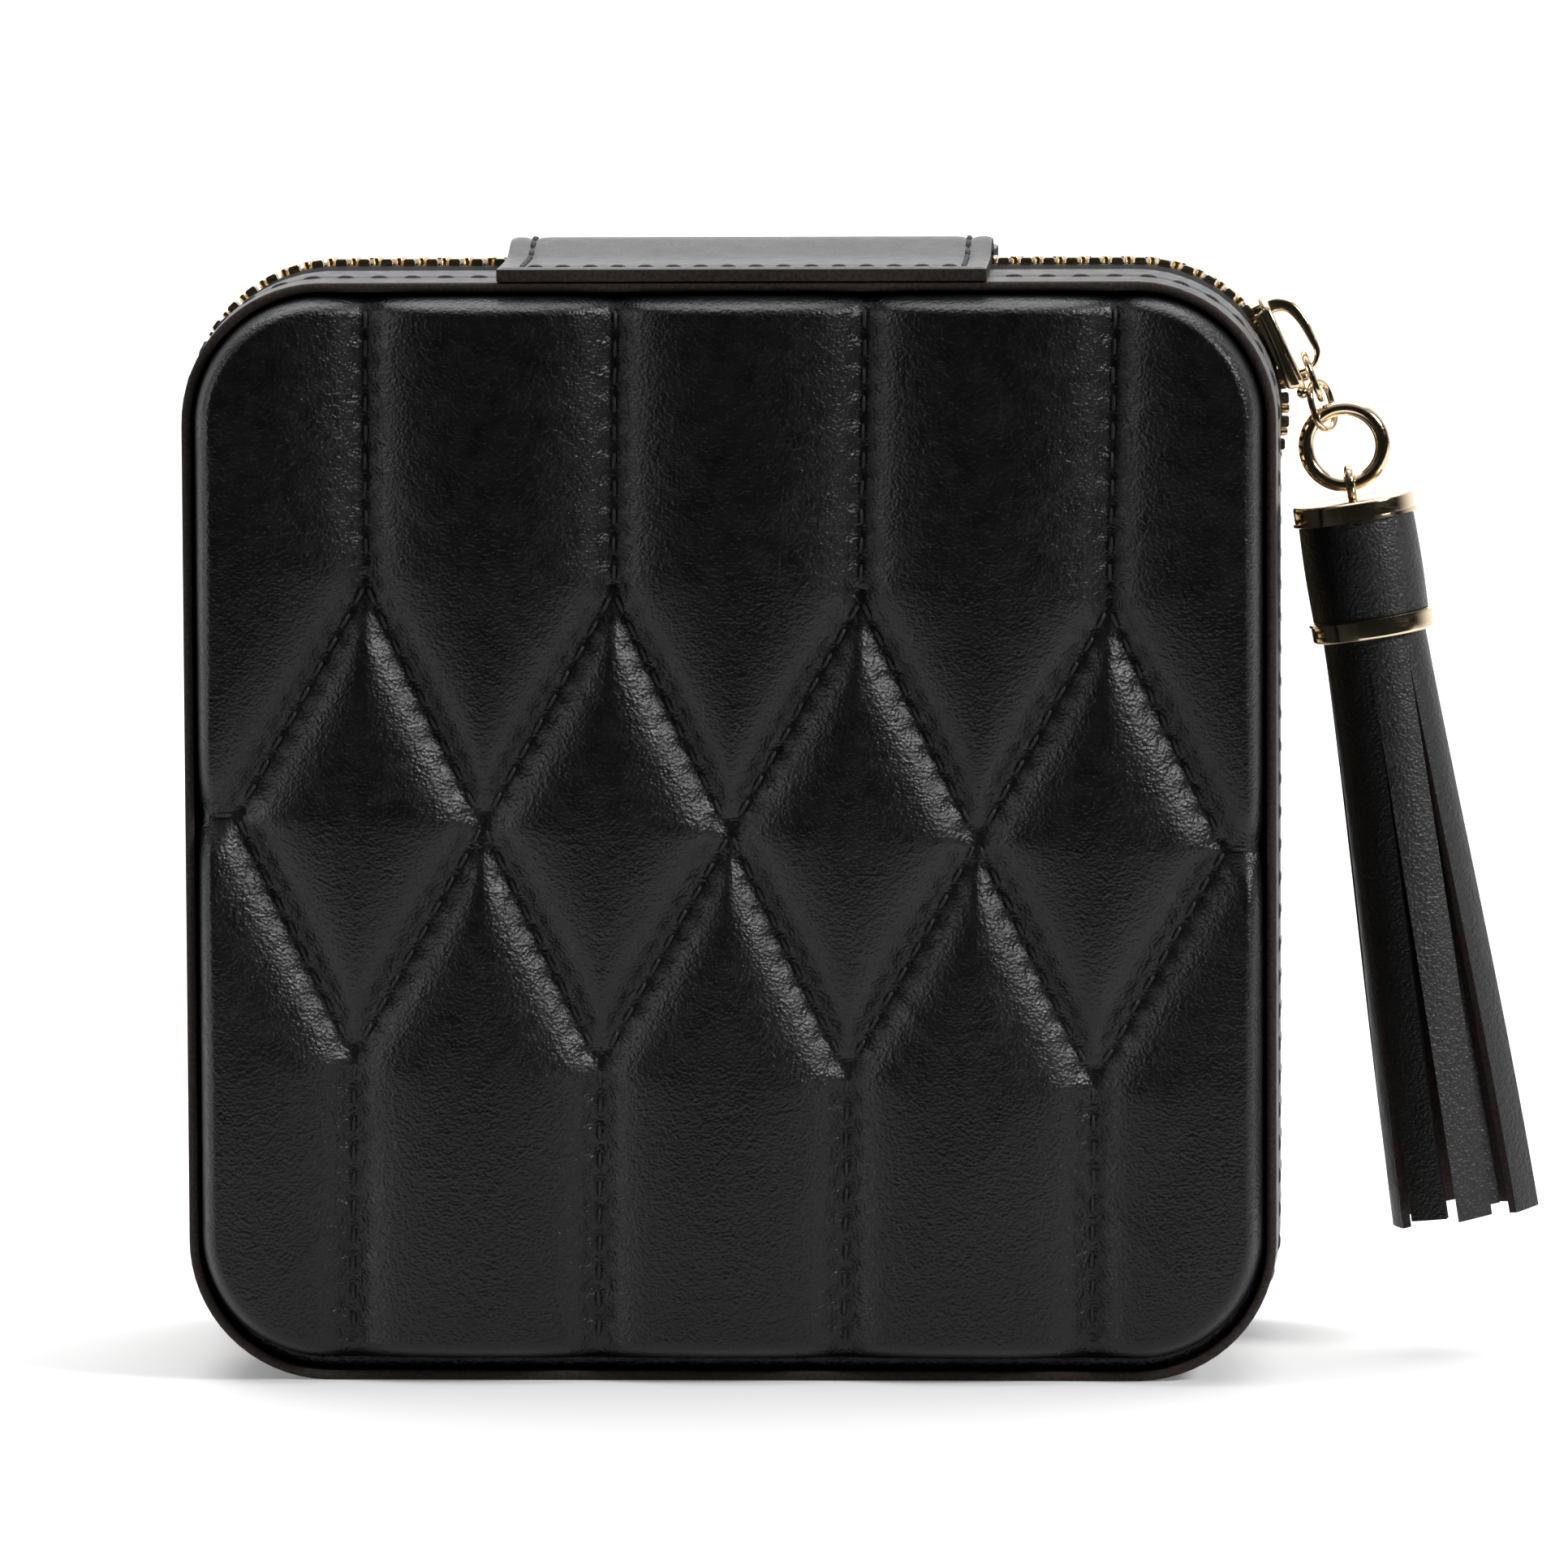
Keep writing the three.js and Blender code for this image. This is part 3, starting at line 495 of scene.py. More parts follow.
def softbox(name, place, size, power):
    data = bpy.data.lights.new(name, "AREA")
    data.shape = "RECTANGLE"
    data.size, data.size_y = size
    data.energy = power
    lamp = bpy.data.objects.new(name, data)
    lamp.location = place
    lamp.rotation_mode = "QUATERNION"
    lamp.rotation_quaternion = (Vector(LIGHTS_AIM) - Vector(place)).to_track_quat("-Z", "Y")
    bpy.context.scene.collection.objects.link(lamp)


def white_floor():
    """A white table, which glows more and more towards the back, as a sweep of paper does."""
    floor = Build()
    corners = [(-1, FLOOR_FRONT), (1, FLOOR_FRONT), (1, FLOOR_BACK), (-1, FLOOR_BACK)]
    floor.add([[side * FLOOR_HALF_WIDTH, y, 0] for side, y in corners], [[0, 1, 2, 3]])
    paper = Nodes("white_floor", Roughness=0.7, Specular_IOR_Level=0.2)
    white = paper.ramp(paper.noise(6, 2), rgb(0.68, 0.68, 0.68), rgb(0.71, 0.71, 0.71))
    paper.link(white, "Base Color")
    paper.shader.inputs["Emission Color"].default_value = rgb(1, 1, 1)
    along = paper.add("SeparateXYZ", {"Vector": paper.coordinates.outputs["Object"]})
    glow = paper.add("MapRange", {"Value": along.outputs["Y"]},
                     From_Min=0.15, From_Max=1.6, To_Min=0.15, To_Max=0.85)
    paper.link(glow.outputs["Result"], "Emission Strength")
    floor.object("floor", [paper.material], None)


def dark_room():
    """A world that is light behind and above the case, dark before it, and white to the camera."""
    world = bpy.data.worlds.new("studio")
    world.use_nodes = True
    bpy.context.scene.world = world
    nodes, links = world.node_tree.nodes, world.node_tree.links
    nodes.clear()

    def node(kind, inputs=(), **values):
        made = nodes.new("ShaderNode" + kind)
        for name, value in values.items():
            setattr(made, name, value)
        for socket, value in inputs:
            if isinstance(value, bpy.types.NodeSocket):
                links.new(value, made.inputs[socket])
            else:
                made.inputs[socket].default_value = value
        return made

    def spread(source, low, high, start, end):
        inputs = {"Value": source, "From Min": start, "From Max": end,
                  "To Min": low, "To Max": high}
        return node("MapRange", inputs.items(), interpolation_type="SMOOTHSTEP").outputs["Result"]

    parts = node("SeparateXYZ", [(0, node("TexCoord").outputs["Generated"])])
    behind = spread(parts.outputs["Y"], 0.015, 1.7, -0.05, 0.85)
    above = spread(parts.outputs["Z"], 0.0, 0.9, 0.45, 1.0)
    total = node("Math", [(0, behind), (1, above)], operation="ADD")
    room = node("Background", [("Strength", total.outputs[0])])
    white = node("Background", [("Color", rgb(1, 1, 1))])
    seen = node("LightPath").outputs["Is Camera Ray"]
    mix = node("MixShader", [(0, seen), (1, room.outputs[0]), (2, white.outputs[0])])
    node("OutputWorld", [("Surface", mix.outputs[0])])


def studio():
    softbox("overhead", (0.0, 0.25, 1.1), (1.3, 1.0), 14)
    softbox("upper_right", (0.9, -0.5, 0.7), (0.28, 0.28), 12)
    softbox("left", (-1.1, -0.35, 0.3), (0.6, 0.7), 4.5)
    white_floor()
    dark_room()
    bpy.context.scene.view_settings.view_transform = "Standard"


# ---- panels: the quilted lid and the plain back ----

RINGS_PER_ROLL = 11
SEAM_PITCH = 29.0
SEAM_RISE = 27.8
SEAM_CENTRE = np.array([0.1, 65.0])
SEAM_TURN = math.radians(-1.9)
QUILT_STITCH = 3.3
SEAM_LEVEL = LID_DEPTH + 0.3
PUFF = 4.0
QUILT_ROLL = 2.3
QUILT_RINGS = 132          # from the middle of the panel to its edge
CLOTH_RINGS = 55           # the same for the simulated cloth
FOAM_RINGS = 66            # and for the foam behind the panel
CLOTH_START = 0.6          # how far the cloth stands out before it is blown up
CLOTH_FRAMES = 20
PRESSURE = 4
HELD_TO_SEAM = 0.8         # cloth nearer a seam than this is pinned
FOAM_GAP = 1.3             # between the panel's face and the foam's
LID_PANEL_BACK = 2.6       # from the lip back to the quilted panel's edge
BASE_PANEL_BACK = 0.7
STITCH_CLEARANCE = 2.4     # no stitch is nearer the panel's edge
PAST_EDGE = 4              # seams run on past the outline


def turned(x, z):
    """A point of the quilt's pattern, turned with the leather."""
    c, s = math.cos(SEAM_TURN), math.sin(SEAM_TURN)
    return SEAM_CENTRE + np.array([c * x - s * z, s * x + c * z])


def quilt_seams():
    """Straight seams: a row of four diamonds, with upright seams above and below it."""
    seams = []
    for i in range(4):
        x = (i - 1.5) * SEAM_PITCH
        top, foot = turned(x, SEAM_RISE), turned(x, -SEAM_RISE)
        left, right = turned(x - SEAM_PITCH / 2, 0), turned(x + SEAM_PITCH / 2, 0)
        seams += [(top, left), (top, right), (left, foot), (right, foot)]
        lean = (i + 1) * 0.25
        seams.append((np.array([top[0] + lean, HEIGHT + PAST_EDGE]), top))
        seams.append((foot, np.array([foot[0] - 0.5, -PAST_EDGE])))
    for side, lift in ((-1, 0.2), (1, -0.3)):
        end = turned(side * 2 * SEAM_PITCH, 0)
        seams.append((end, np.array([side * (HALF_WIDTH + PAST_EDGE), end[1] + lift])))
    return seams


def panel_grid(rings, roll, inset, foot_inset):
    """A rounded-square panel as a square grid of points, and each one's share of the rolled rim."""
    k = np.arange(-rings, rings + 1)
    u, v = np.meshgrid(k, k, indexing="ij")
    ring = np.maximum(abs(u), abs(v))
    across = HALF_WIDTH - inset
    up = (HEIGHT - inset - foot_inset) / 2
    centre_z = foot_inset + up
    roll_rings = rings // RINGS_PER_ROLL
    inner = rings - roll_rings
    angle = np.clip((rings - ring) / roll_rings, 0, 1) * math.pi / 2
    distance = np.where(ring >= inner, roll * (1 - np.cos(angle)), roll)
    shrink = np.where(ring >= inner, 1.0, ring / inner)
    half_x = (across - distance) * shrink
    half_z = (up - distance) * shrink
    corner = (RADIUS - inset - distance) * shrink
    share = np.where(ring > 0, np.where(abs(u) >= abs(v), v, u) / np.maximum(ring, 1), 0.0)

    def along(half_here, half_there):
        """Along one side and half of each arc: (offset along the side, drop at the arc)."""
        straight = half_here - corner
        run = straight + corner * math.pi / 4
        s = np.abs(share) * run
        turn = np.clip((s - straight) / np.maximum(corner, 1e-6), 0, math.pi / 4)
        offset = np.where(s < straight, s, straight + corner * np.sin(turn))
        return np.sign(share) * offset, half_there - corner * (1 - np.cos(turn))

    side_z, side_x = along(half_z, half_x)
    top_x, top_z = along(half_x, half_z)
    upright = abs(u) >= abs(v)
    x = np.where(upright, np.sign(u) * side_x, top_x)
    z = np.where(upright, side_z, np.sign(v) * top_z) + centre_z
    return x, z, np.sin(angle)


def seam_distance(x, z, seam):
    """Distance from a seam, and how far along it."""
    a, b = seam
    way = b - a
    length = np.linalg.norm(way)
    way = way / length
    along = (x - a[0]) * way[0] + (z - a[1]) * way[1]
    nearest = np.clip(along, 0, length)
    return np.hypot(x - a[0] - nearest * way[0], z - a[1] - nearest * way[1]), nearest


def waves(x, z, size, seed):
    """A slow, smooth unevenness between -1 and 1."""
    r = np.random.default_rng(seed)
    total = np.zeros_like(x)
    for _ in range(7):
        angle, phase = r.uniform(0, 2 * math.pi, 2)
        step = size * r.uniform(0.7, 1.6)
        total += np.sin((x * math.cos(angle) + z * math.sin(angle)) * 2 * math.pi / step + phase)
    return total / 4


def from_seams(x, z):
    """Distance from the nearest seam."""
    return np.min([seam_distance(x, z, seam)[0] for seam in quilt_seams()], axis=0)


def inflated(grid):
    """Heights of the sewn leather after the cloth has been blown up between its seams."""
    x, z, rim = grid
    apart = from_seams(x, z)
    size = x.shape[0]
    start = CLOTH_START * (1 - np.exp(-((apart / 5) ** 1.2)))
    points = to_frame(np.stack([x, -start, z], 2).reshape(-1, 3))
    mesh = bpy.data.meshes.new("cloth")
    mesh.from_pydata(points.tolist(), [], strip_faces(size, size, False, False))
    sheet = bpy.data.objects.new("cloth", mesh)
    bpy.context.scene.collection.objects.link(sheet)
    group = sheet.vertex_groups.new(name="sewn")
    held = np.flatnonzero(((apart < HELD_TO_SEAM) | (rim < 0.5)).ravel())
    group.add(held.tolist(), 1.0, "REPLACE")
    cloth = sheet.modifiers.new("cloth", "CLOTH")
    settings = cloth.settings
    settings.quality = 6
    settings.mass = 0.15
    settings.tension_stiffness = settings.compression_stiffness = 12
    settings.shear_stiffness = 6
    settings.bending_stiffness = 0.4
    settings.use_pressure = True
    settings.uniform_pressure_force = PRESSURE
    settings.vertex_group_mass = "sewn"
    settings.effector_weights.gravity = 0
    cloth.collision_settings.use_collision = False
    cloth.point_cache.frame_start, cloth.point_cache.frame_end = 1, CLOTH_FRAMES
    for number in range(1, CLOTH_FRAMES + 1):
        bpy.context.scene.frame_set(number)
    blown = sheet.evaluated_get(bpy.context.evaluated_depsgraph_get()).data
    moved = np.zeros(len(points) * 3)
    blown.vertices.foreach_get("co", moved)
    height = -(moved.reshape(-1, 3)[:, 1] / MM - ZIP_Y).reshape(size, size)
    bpy.context.scene.frame_set(1)
    bpy.data.objects.remove(sheet)
    return height


def resampled(values, size):
    """A square grid of values read at a finer grid's points."""
    old = np.linspace(0, 1, values.shape[0])
    new = np.linspace(0, 1, size)
    rows = np.array([np.interp(new, old, row) for row in values])
    return np.array([np.interp(new, old, column) for column in rows.T]).T


def softened(values):
    """Each value shared with its neighbours in a square grid."""
    framed = np.pad(values, 1, mode="edge")
    sides = framed[:-2, 1:-1] + framed[2:, 1:-1] + framed[1:-1, :-2] + framed[1:-1, 2:]
    return (4 * values + sides) / 8


def quilt_height(grid):
    """How far the leather stands in front of its seams."""
    x, z, _ = grid
    apart = from_seams(x, z)
    cloth = panel_grid(CLOTH_RINGS, QUILT_ROLL, COVER_INSET, COVER_FOOT_INSET)
    height = resampled(inflated(cloth), x.shape[0])
    for _ in range(3):
        height = softened(height)
    height = PUFF * np.clip(height / np.percentile(height, 97), 0, 1.2) ** 0.83
    height *= 1 - np.exp(-((apart / 1.2) ** 1.3))
    pucker = np.zeros_like(x)
    for seam in quilt_seams():
        distance, along = seam_distance(x, z, seam)
        holes = np.cos(2 * math.pi * along / QUILT_STITCH)
        pucker += holes * np.exp(-((distance - 1.0) ** 2) / 0.4)
    return height - 0.13 * pucker + 0.05 * waves(x, z, 17, 5)


def normals_of(points):
    """Unit normals of a grid of points."""
    a, b = np.gradient(points, axis=0), np.gradient(points, axis=1)
    normals = np.cross(a, b)
    return normals / np.maximum(np.linalg.norm(normals, axis=2), 1e-9)[:, :, None]


def panel_points(side, back, level, relief, grid):
    x, z, rim = grid
    front = level + relief
    return np.stack([x, side * (back + (front - back) * rim), z], 2)


def closed_panel(build, outer, inner, marks=(0, 0)):
    """Two grids of points joined round their borders."""
    size = outer.shape[0]
    faces = strip_faces(size, size, False, False)
    start = size * size
    edge = border(size)
    back_faces = [[start + i for i in face[::-1]] for face in faces]
    joins = [[a, b, start + b, start + a] for a, b in zip(edge, edge[1:] + edge[:1])]
    points = np.concatenate([outer.reshape(-1, 3), inner.reshape(-1, 3)])
    all_marks = [marks[0]] * len(faces) + [marks[1]] * (len(faces) + len(edge))
    build.add(points, faces + back_faces + joins, all_marks)


def leather_panel(name, side, points, replaces, body):
    """A leather skin with its own thickness, whose flesh side is within."""
    normals = normals_of(points)
    normals *= np.sign((normals[:, :, 1] * side).sum())
    build = Build()
    closed_panel(build, points, points - normals * LEATHER * 0.9, (0, 1))
    return build.object(name, [BLACK, RAW], body, replaces)


def border(size):
    """Indices round the edge of a square grid of points."""
    index = np.arange(size * size).reshape(size, size)
    sides = index[0, :-1], index[:-1, -1], index[-1, :0:-1], index[:0:-1, 0]
    return np.concatenate(sides).tolist()


def quilted_lid():
    """The quilted leather, the foam that pads it, and the threads of its seams."""
    grid = panel_grid(QUILT_RINGS, QUILT_ROLL, COVER_INSET, COVER_FOOT_INSET)
    relief = quilt_height(grid)
    points = panel_points(LID, LID_DEPTH - LID_PANEL_BACK, SEAM_LEVEL, relief, grid)
    leather_panel("quilted_panel", LID, points, ["quilted_cover"], "lid")
    foam_back = abs(node_box("lid_foam")[1][1])
    coarse = panel_grid(FOAM_RINGS, QUILT_ROLL, COVER_INSET + FOAM_GAP, COVER_FOOT_INSET + FOAM_GAP)
    soft = resampled(relief, coarse[0].shape[0]) - FOAM_GAP
    front = panel_points(LID, foam_back, SEAM_LEVEL, soft, coarse)
    rear = front.copy()
    rear[:, :, 1] = -foam_back
    foam = Build()
    closed_panel(foam, front, rear)
    foam.object("foam_pad", [FOAM_CREAM], "lid", ["lid_foam"])
    threads = Build()
    across, low = HALF_WIDTH - COVER_INSET - STITCH_CLEARANCE, COVER_FOOT_INSET + STITCH_CLEARANCE
    for a, b in quilt_seams():
        way = b - a
        length = np.linalg.norm(way)
        way = way / length
        for k in range(int(length / QUILT_STITCH)):
            x, z = a + way * (k + 0.5) * QUILT_STITCH
            if abs(x) < across and low < z < HEIGHT - COVER_INSET - STITCH_CLEARANCE:
                drift = RANDOM.normal(0, 0.05, 3)
                stitch(threads, [x + drift[0], -(SEAM_LEVEL + 0.02), z + drift[1]],
                       [way[0] + drift[2], 0, way[1]], [0, -1, 0], 2.35)
    threads.object("quilt_stitches", [THREAD_BLACK], "lid")


def back_panel():
    grid = panel_grid(77, 3.0, COVER_INSET, COVER_INSET)
    x, z, _ = grid
    middle = (1 - (x / HALF_WIDTH) ** 2) * (1 - ((z - HEIGHT / 2) / (HEIGHT / 2)) ** 2)
    relief = 0.45 * middle + 0.03 * waves(x, z, 30, 11)
    points = panel_points(BASE, BASE_DEPTH - BASE_PANEL_BACK, BASE_DEPTH + 1.0, relief, grid)
    leather_panel("back_panel", BASE, points, ["back_cover"], "base")


# ---- walls ----

WALL_STITCH_FROM_LIP = 7.0
WALL_STITCH_PITCH = 3.9


def wall(name, side, depth, body, node, panel_back):
    """The wall leather: a raw cut lip, a sewn groove and a folded edge along the zip."""
    seam = depth - WALL_STITCH_FROM_LIP

    def crown(d):
        t = (depth - d) / (depth - WALL_EDGE)
        return CROWN * t + 0.18 * np.sin(math.pi * t) - 0.3 * np.exp(-(((d - seam) / 0.75) ** 2))

    outer = np.concatenate([
        [depth - 0.25],
        np.linspace(depth - 1, seam + 2.2, 6),
        np.linspace(seam + 1.6, seam - 1.6, 9),
        np.linspace(seam - 2.4, WALL_EDGE + 0.4, 7),
    ])
    fold = np.linspace(0, math.pi, 7)

    def section(rise, s):
        ragged = 0.05 * math.sin(s * 2.3) + 0.05 * math.sin(s * 0.83 + 1)
        lip = [[-LEATHER + 0.15, depth - 0.05], [-LEATHER / 2, depth + 0.05 + ragged * 0.6],
               [-0.2, depth - 0.02]]
        face = [[rise * crown(d), d] for d in outer]
        middle = rise * crown(WALL_EDGE) - LEATHER / 2
        edge = [[middle + LEATHER / 2 * math.cos(a), WALL_EDGE - LEATHER / 2 * math.sin(a) * 0.8]
                for a in fold]
        inner = [[rise * crown(d) - LEATHER, d] for d in (WALL_EDGE + 1, seam, depth - 0.4)]
        return lip + face + edge + inner

    distances = round_stations()
    rings = swept_rings(distances, side, section)
    lip_steps = 3
    marks = [1] * lip_steps + [0] * (rings.shape[1] - lip_steps - 1) + [1]
    build = Build()
    build.rings(rings, closed=True, marks=marks, uv=sweep_uv(distances, rings[0]))

    def turning(rise, s):
        """The leather turned in behind the panel's edge, so that nothing shows through the gap."""
        low, high = depth - panel_back - 0.4, depth - panel_back + 0.3
        outer, inner = -0.6 * LEATHER, -COVER_FOOT_INSET - 1.2
        return [[outer, low], [outer, high], [inner, high], [inner, low]]

    build.rings(swept_rings(distances, side, turning), closed=True)
    build.object(name, [BLACK, RAW], body, [node])
    threads = Build()
    count = int(ROUND / WALL_STITCH_PITCH)
    out = CROWN * WALL_STITCH_FROM_LIP / (depth - WALL_EDGE) - 0.1
    for k in range(count):
        centre, tangent, up = wall_point((k + 0.5) * ROUND / count, side, seam, out)
        stitch(threads, centre, tangent, up, 2.7, radius=0.31)
    threads.object(name + "_stitches", [THREAD_BLACK], body)


# ---- zip ----

ZIP_START, ZIP_END = 24.0, ROUND - 26.5    # under the hinge patch, and round to it again


def mirrored(half):
    """Half of an outline, as pairs, followed by its mirror image."""
    return half + [(a, -b) for a, b in half[::-1]]


def tape(name, side, body, node):
    """Woven tape from under the wall leather to the middle of the teeth."""
    at_teeth = TEETH_HEIGHT / 2 - 0.25

    def section(rise, s):
        top = ZIP_BULGE * rise - 0.15 - at_teeth
        under = -LEATHER - 0.3 + 0.1 * rise
        depths = [22, 16, WALL_EDGE + 0.5, 7.5, 6, 4.8, 3.4, 1.3]
        shares = [0, 0, 0.03, 0.2, 0.45, 0.7, 1, 1]
        outer = [[under + (top - under) * t, d] for t, d in zip(shares, depths)]
        return outer + [[u - 0.5, d] for u, d in outer[::-1]]

    distances = np.arange(ZIP_START, ZIP_END, 1.5)
    rings = swept_rings(distances, side, section, zip_sinks=True)
    build = Build()
    build.rings(rings, uv=sweep_uv(distances, rings[0]))
    build.object(name, [TAPE], body, [node])


# Half of a tooth's outline: [depth from the middle of the zip, half width along it]
TOOTH = [(-0.98, 0.2), (-0.86, 0.42), (-0.5, 0.52), (-0.1, 0.46),
         (0.35, 0.4), (0.9, 0.46), (1.3, 0.6), (3.0, 0.66)]


def teeth(name, side, body, nodes):
    """A row of metal teeth that mesh with the other row's."""
    outline = mirrored(TOOTH)
    levels = [(0.0, 0.72), (-0.22, 1.0), (-TEETH_HEIGHT + 0.2, 1.0), (-TEETH_HEIGHT, 0.75)]
    shift = 0 if side == LID else TOOTH_PITCH / 2
    build = Build()
    for at in np.arange(ZIP_START + 1.5 + shift, ZIP_END - 1.5, TOOTH_PITCH):
        place, normal = outline_at(np.array([at]))
        rise = zip_bulge(place, normal)[0]
        centre, tangent, out = wall_point(at, side, 0, 0)
        centre = centre + out * (TEETH_OUTER * rise - 0.15 * (1 - rise))
        rings = []
        for down, share in levels:
            reach = np.array([0, side * (0.9 + 0.1 * share), 0])
            rings.append([centre + tangent * w * share + out * down + reach * d
                          for d, w in outline])
        build.rings(rings)
    build.object(name, [TOOTH_GOLD], body, nodes, 50)


# ---- hinge patch ----

PATCH_LOW, PATCH_HIGH = node_box("hinge_leaf_lid")
PATCH_TOP = PATCH_HIGH[2] - HEIGHT
PATCH = 1.6                # its thickness
PATCH_MARGIN = 2.75        # from its edge to its stitches
PATCH_STITCH = 3.2


def patch_reach(depth):
    """How far the patch reaches from the zip, on the side that a depth is on."""
    return LID_DEPTH if depth < 0 else BASE_DEPTH


def patch_level(depth, full):
    """Height of the patch's upper face above the case's outline, at a distance from the zip."""
    flat = 1.75 + 0.5 * (1 - abs(depth) / full)
    return flat + (PATCH_TOP - flat) * np.exp(-((abs(depth) / 6.2) ** 2.4))


def hinge_patch():
    """One piece of leather sewn over the zip; the real patch bends as the lid opens, but here it is
    built in its closed shape.
    """
    middle, half = (PATCH_HIGH[0] + PATCH_LOW[0]) / 2, (PATCH_HIGH[0] - PATCH_LOW[0]) / 2
    depths = np.concatenate([
        np.linspace(-LID_DEPTH - 0.1, -LID_DEPTH + 0.5, 3),
        np.linspace(-LID_DEPTH + 1.4, -8, 20),
        np.linspace(-7.2, 7.2, 25),
        np.linspace(8, BASE_DEPTH - 1.4, 20),
        np.linspace(BASE_DEPTH - 0.5, BASE_DEPTH + 0.1, 3),
    ])
    shares = np.concatenate([[-1, -0.992], np.linspace(-0.975, 0.975, 58), [0.992, 1]])
    build = Build()

    def level(d, x):
        full = patch_reach(d)
        inward = min(half - abs(x - middle), full - abs(d))
        groove = 0.32 * math.exp(-(((inward - PATCH_MARGIN) / 0.65) ** 2))
        edge = 0.22 * math.exp(-((inward / 0.3) ** 2))
        return patch_level(d, full) - groove - edge

    rings = []
    for d in depths:
        upper = [[middle + half * t, d, HEIGHT + level(d, middle + half * t)] for t in shares]
        foot = HEIGHT + patch_level(d, patch_reach(d)) - PATCH
        lower = [[middle + half * t, d, foot] for t in shares[::-1]]
        rings.append(upper + lower)
    columns = len(shares)
    build.rings(rings, marks=([0] * (columns - 1) + [1]) * 2, cap_mark=1)

    left, right = middle - half + PATCH_MARGIN, middle + half - PATCH_MARGIN
    front, rear = -LID_DEPTH + PATCH_MARGIN, BASE_DEPTH - PATCH_MARGIN
    for start, end in (((left, front), (right, front)), ((left, rear), (right, rear)),
                       ((left, front), (left, rear)), ((right, front), (right, rear))):
        for (x, d), run in stitch_places(start, end, PATCH_STITCH):
            full = patch_reach(d)
            slope = (patch_level(d + 0.2, full) - patch_level(d - 0.2, full)) / 0.4
            up = np.cross([1, 0, 0], [0, 1, slope])
            place = [x, d, HEIGHT + patch_level(d, full) - 0.26]
            stitch(build, place, [run[0], run[1], run[1] * slope], up, 2.45, radius=0.3, mark=2)
    piece = build.object("hinge_patch", [PATCH_BLACK, RAW, THREAD_BLACK], None,
                         ["hinge_leaf_base", "hinge_leaf_lid"], 50)
    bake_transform(piece)


# ---- slider ----

TOP_PLATE = RADIUS + TEETH_OUTER + 0.3     # from the corner's centre to the top plate
LOWER_PLATE = 14.2
PLATE = 1.0
SLIDER_HALF = 6.1          # half the slider's length
BRIDGE_HALF = 1.2          # half its strip's width


def on_slider(out, down, y):
    """A point on the slider: outward from the corner's centre, down the zip, and across it."""
    c, s = math.cos(SLIDER_ANGLE), math.sin(SLIDER_ANGLE)
    return [CORNER_CENTRE[0] + out * c + down * s, y, CORNER_CENTRE[1] + out * s - down * c]


def rounded(corners, radius, steps=5):
    """A closed outline with its corners rounded."""
    corners = [np.array(c, float) for c in corners]
    points = []
    for i, here in enumerate(corners):
        before, after = corners[i - 1], corners[(i + 1) % len(corners)]
        a = here + (before - here) / np.linalg.norm(before - here) * radius
        b = here + (after - here) / np.linalg.norm(after - here) * radius
        for t in np.linspace(0, 1, steps):
            points.append((1 - t) ** 2 * a + 2 * t * (1 - t) * here + t**2 * b)
    return np.array(points)


def slider_plate(build, low, high, crown=0.0):
    half = [(-SLIDER_HALF, 3.4), (-SLIDER_HALF + 1.4, 5.1), (0.4, 5.1), (SLIDER_HALF - 0.8, 4.0),
            (SLIDER_HALF, 2.8)]
    shape = rounded(mirrored(half), 0.7, 4)
    soft = 0.22
    levels = [(low, 0.955), (low + soft, 1.0), (high - soft, 1.0), (high - 0.06, 0.97),
              (high + crown * 0.4, 0.85), (high + crown, 0.5)]
    build.rings([[on_slider(out, down * share, y * share) for down, y in shape]
                 for out, share in levels])


def slider_flange(build, side):
    """The turned-down edge of the top plate beside the teeth."""
    top, foot = TOP_PLATE + 0.5, TOP_PLATE - 1.1
    shape = rounded([(-SLIDER_HALF + 1.2, top), (SLIDER_HALF - 0.6, top),
                     (SLIDER_HALF - 1.0, foot), (-SLIDER_HALF + 1.8, foot)], 0.5, 4)
    middle = shape.mean(0)
    build.rings([[on_slider(*(middle + (p - middle) * share)[::-1], side * y) for p in shape]
                 for y, share in ((3.45, 0.94), (3.6, 1.0), (4.65, 1.0), (4.85, 0.93))])


def smooth_path(points, steps=6):
    """A smooth line through rows of numbers, by Catmull and Rom's rule."""
    p = np.array(points, float)
    padded = np.concatenate([[2 * p[0] - p[1]], p, [2 * p[-1] - p[-2]]])
    made = []
    for i in range(1, len(padded) - 2):
        a, b, c, d = padded[i - 1:i + 3]
        for t in np.linspace(0, 1, steps, endpoint=False):
            made.append(0.5 * (2 * b + (c - a) * t + (2 * a - 5 * b + 4 * c - d) * t**2
                               + (3 * b - a - 3 * c + d) * t**3))
    return np.array(made + [p[-1]])


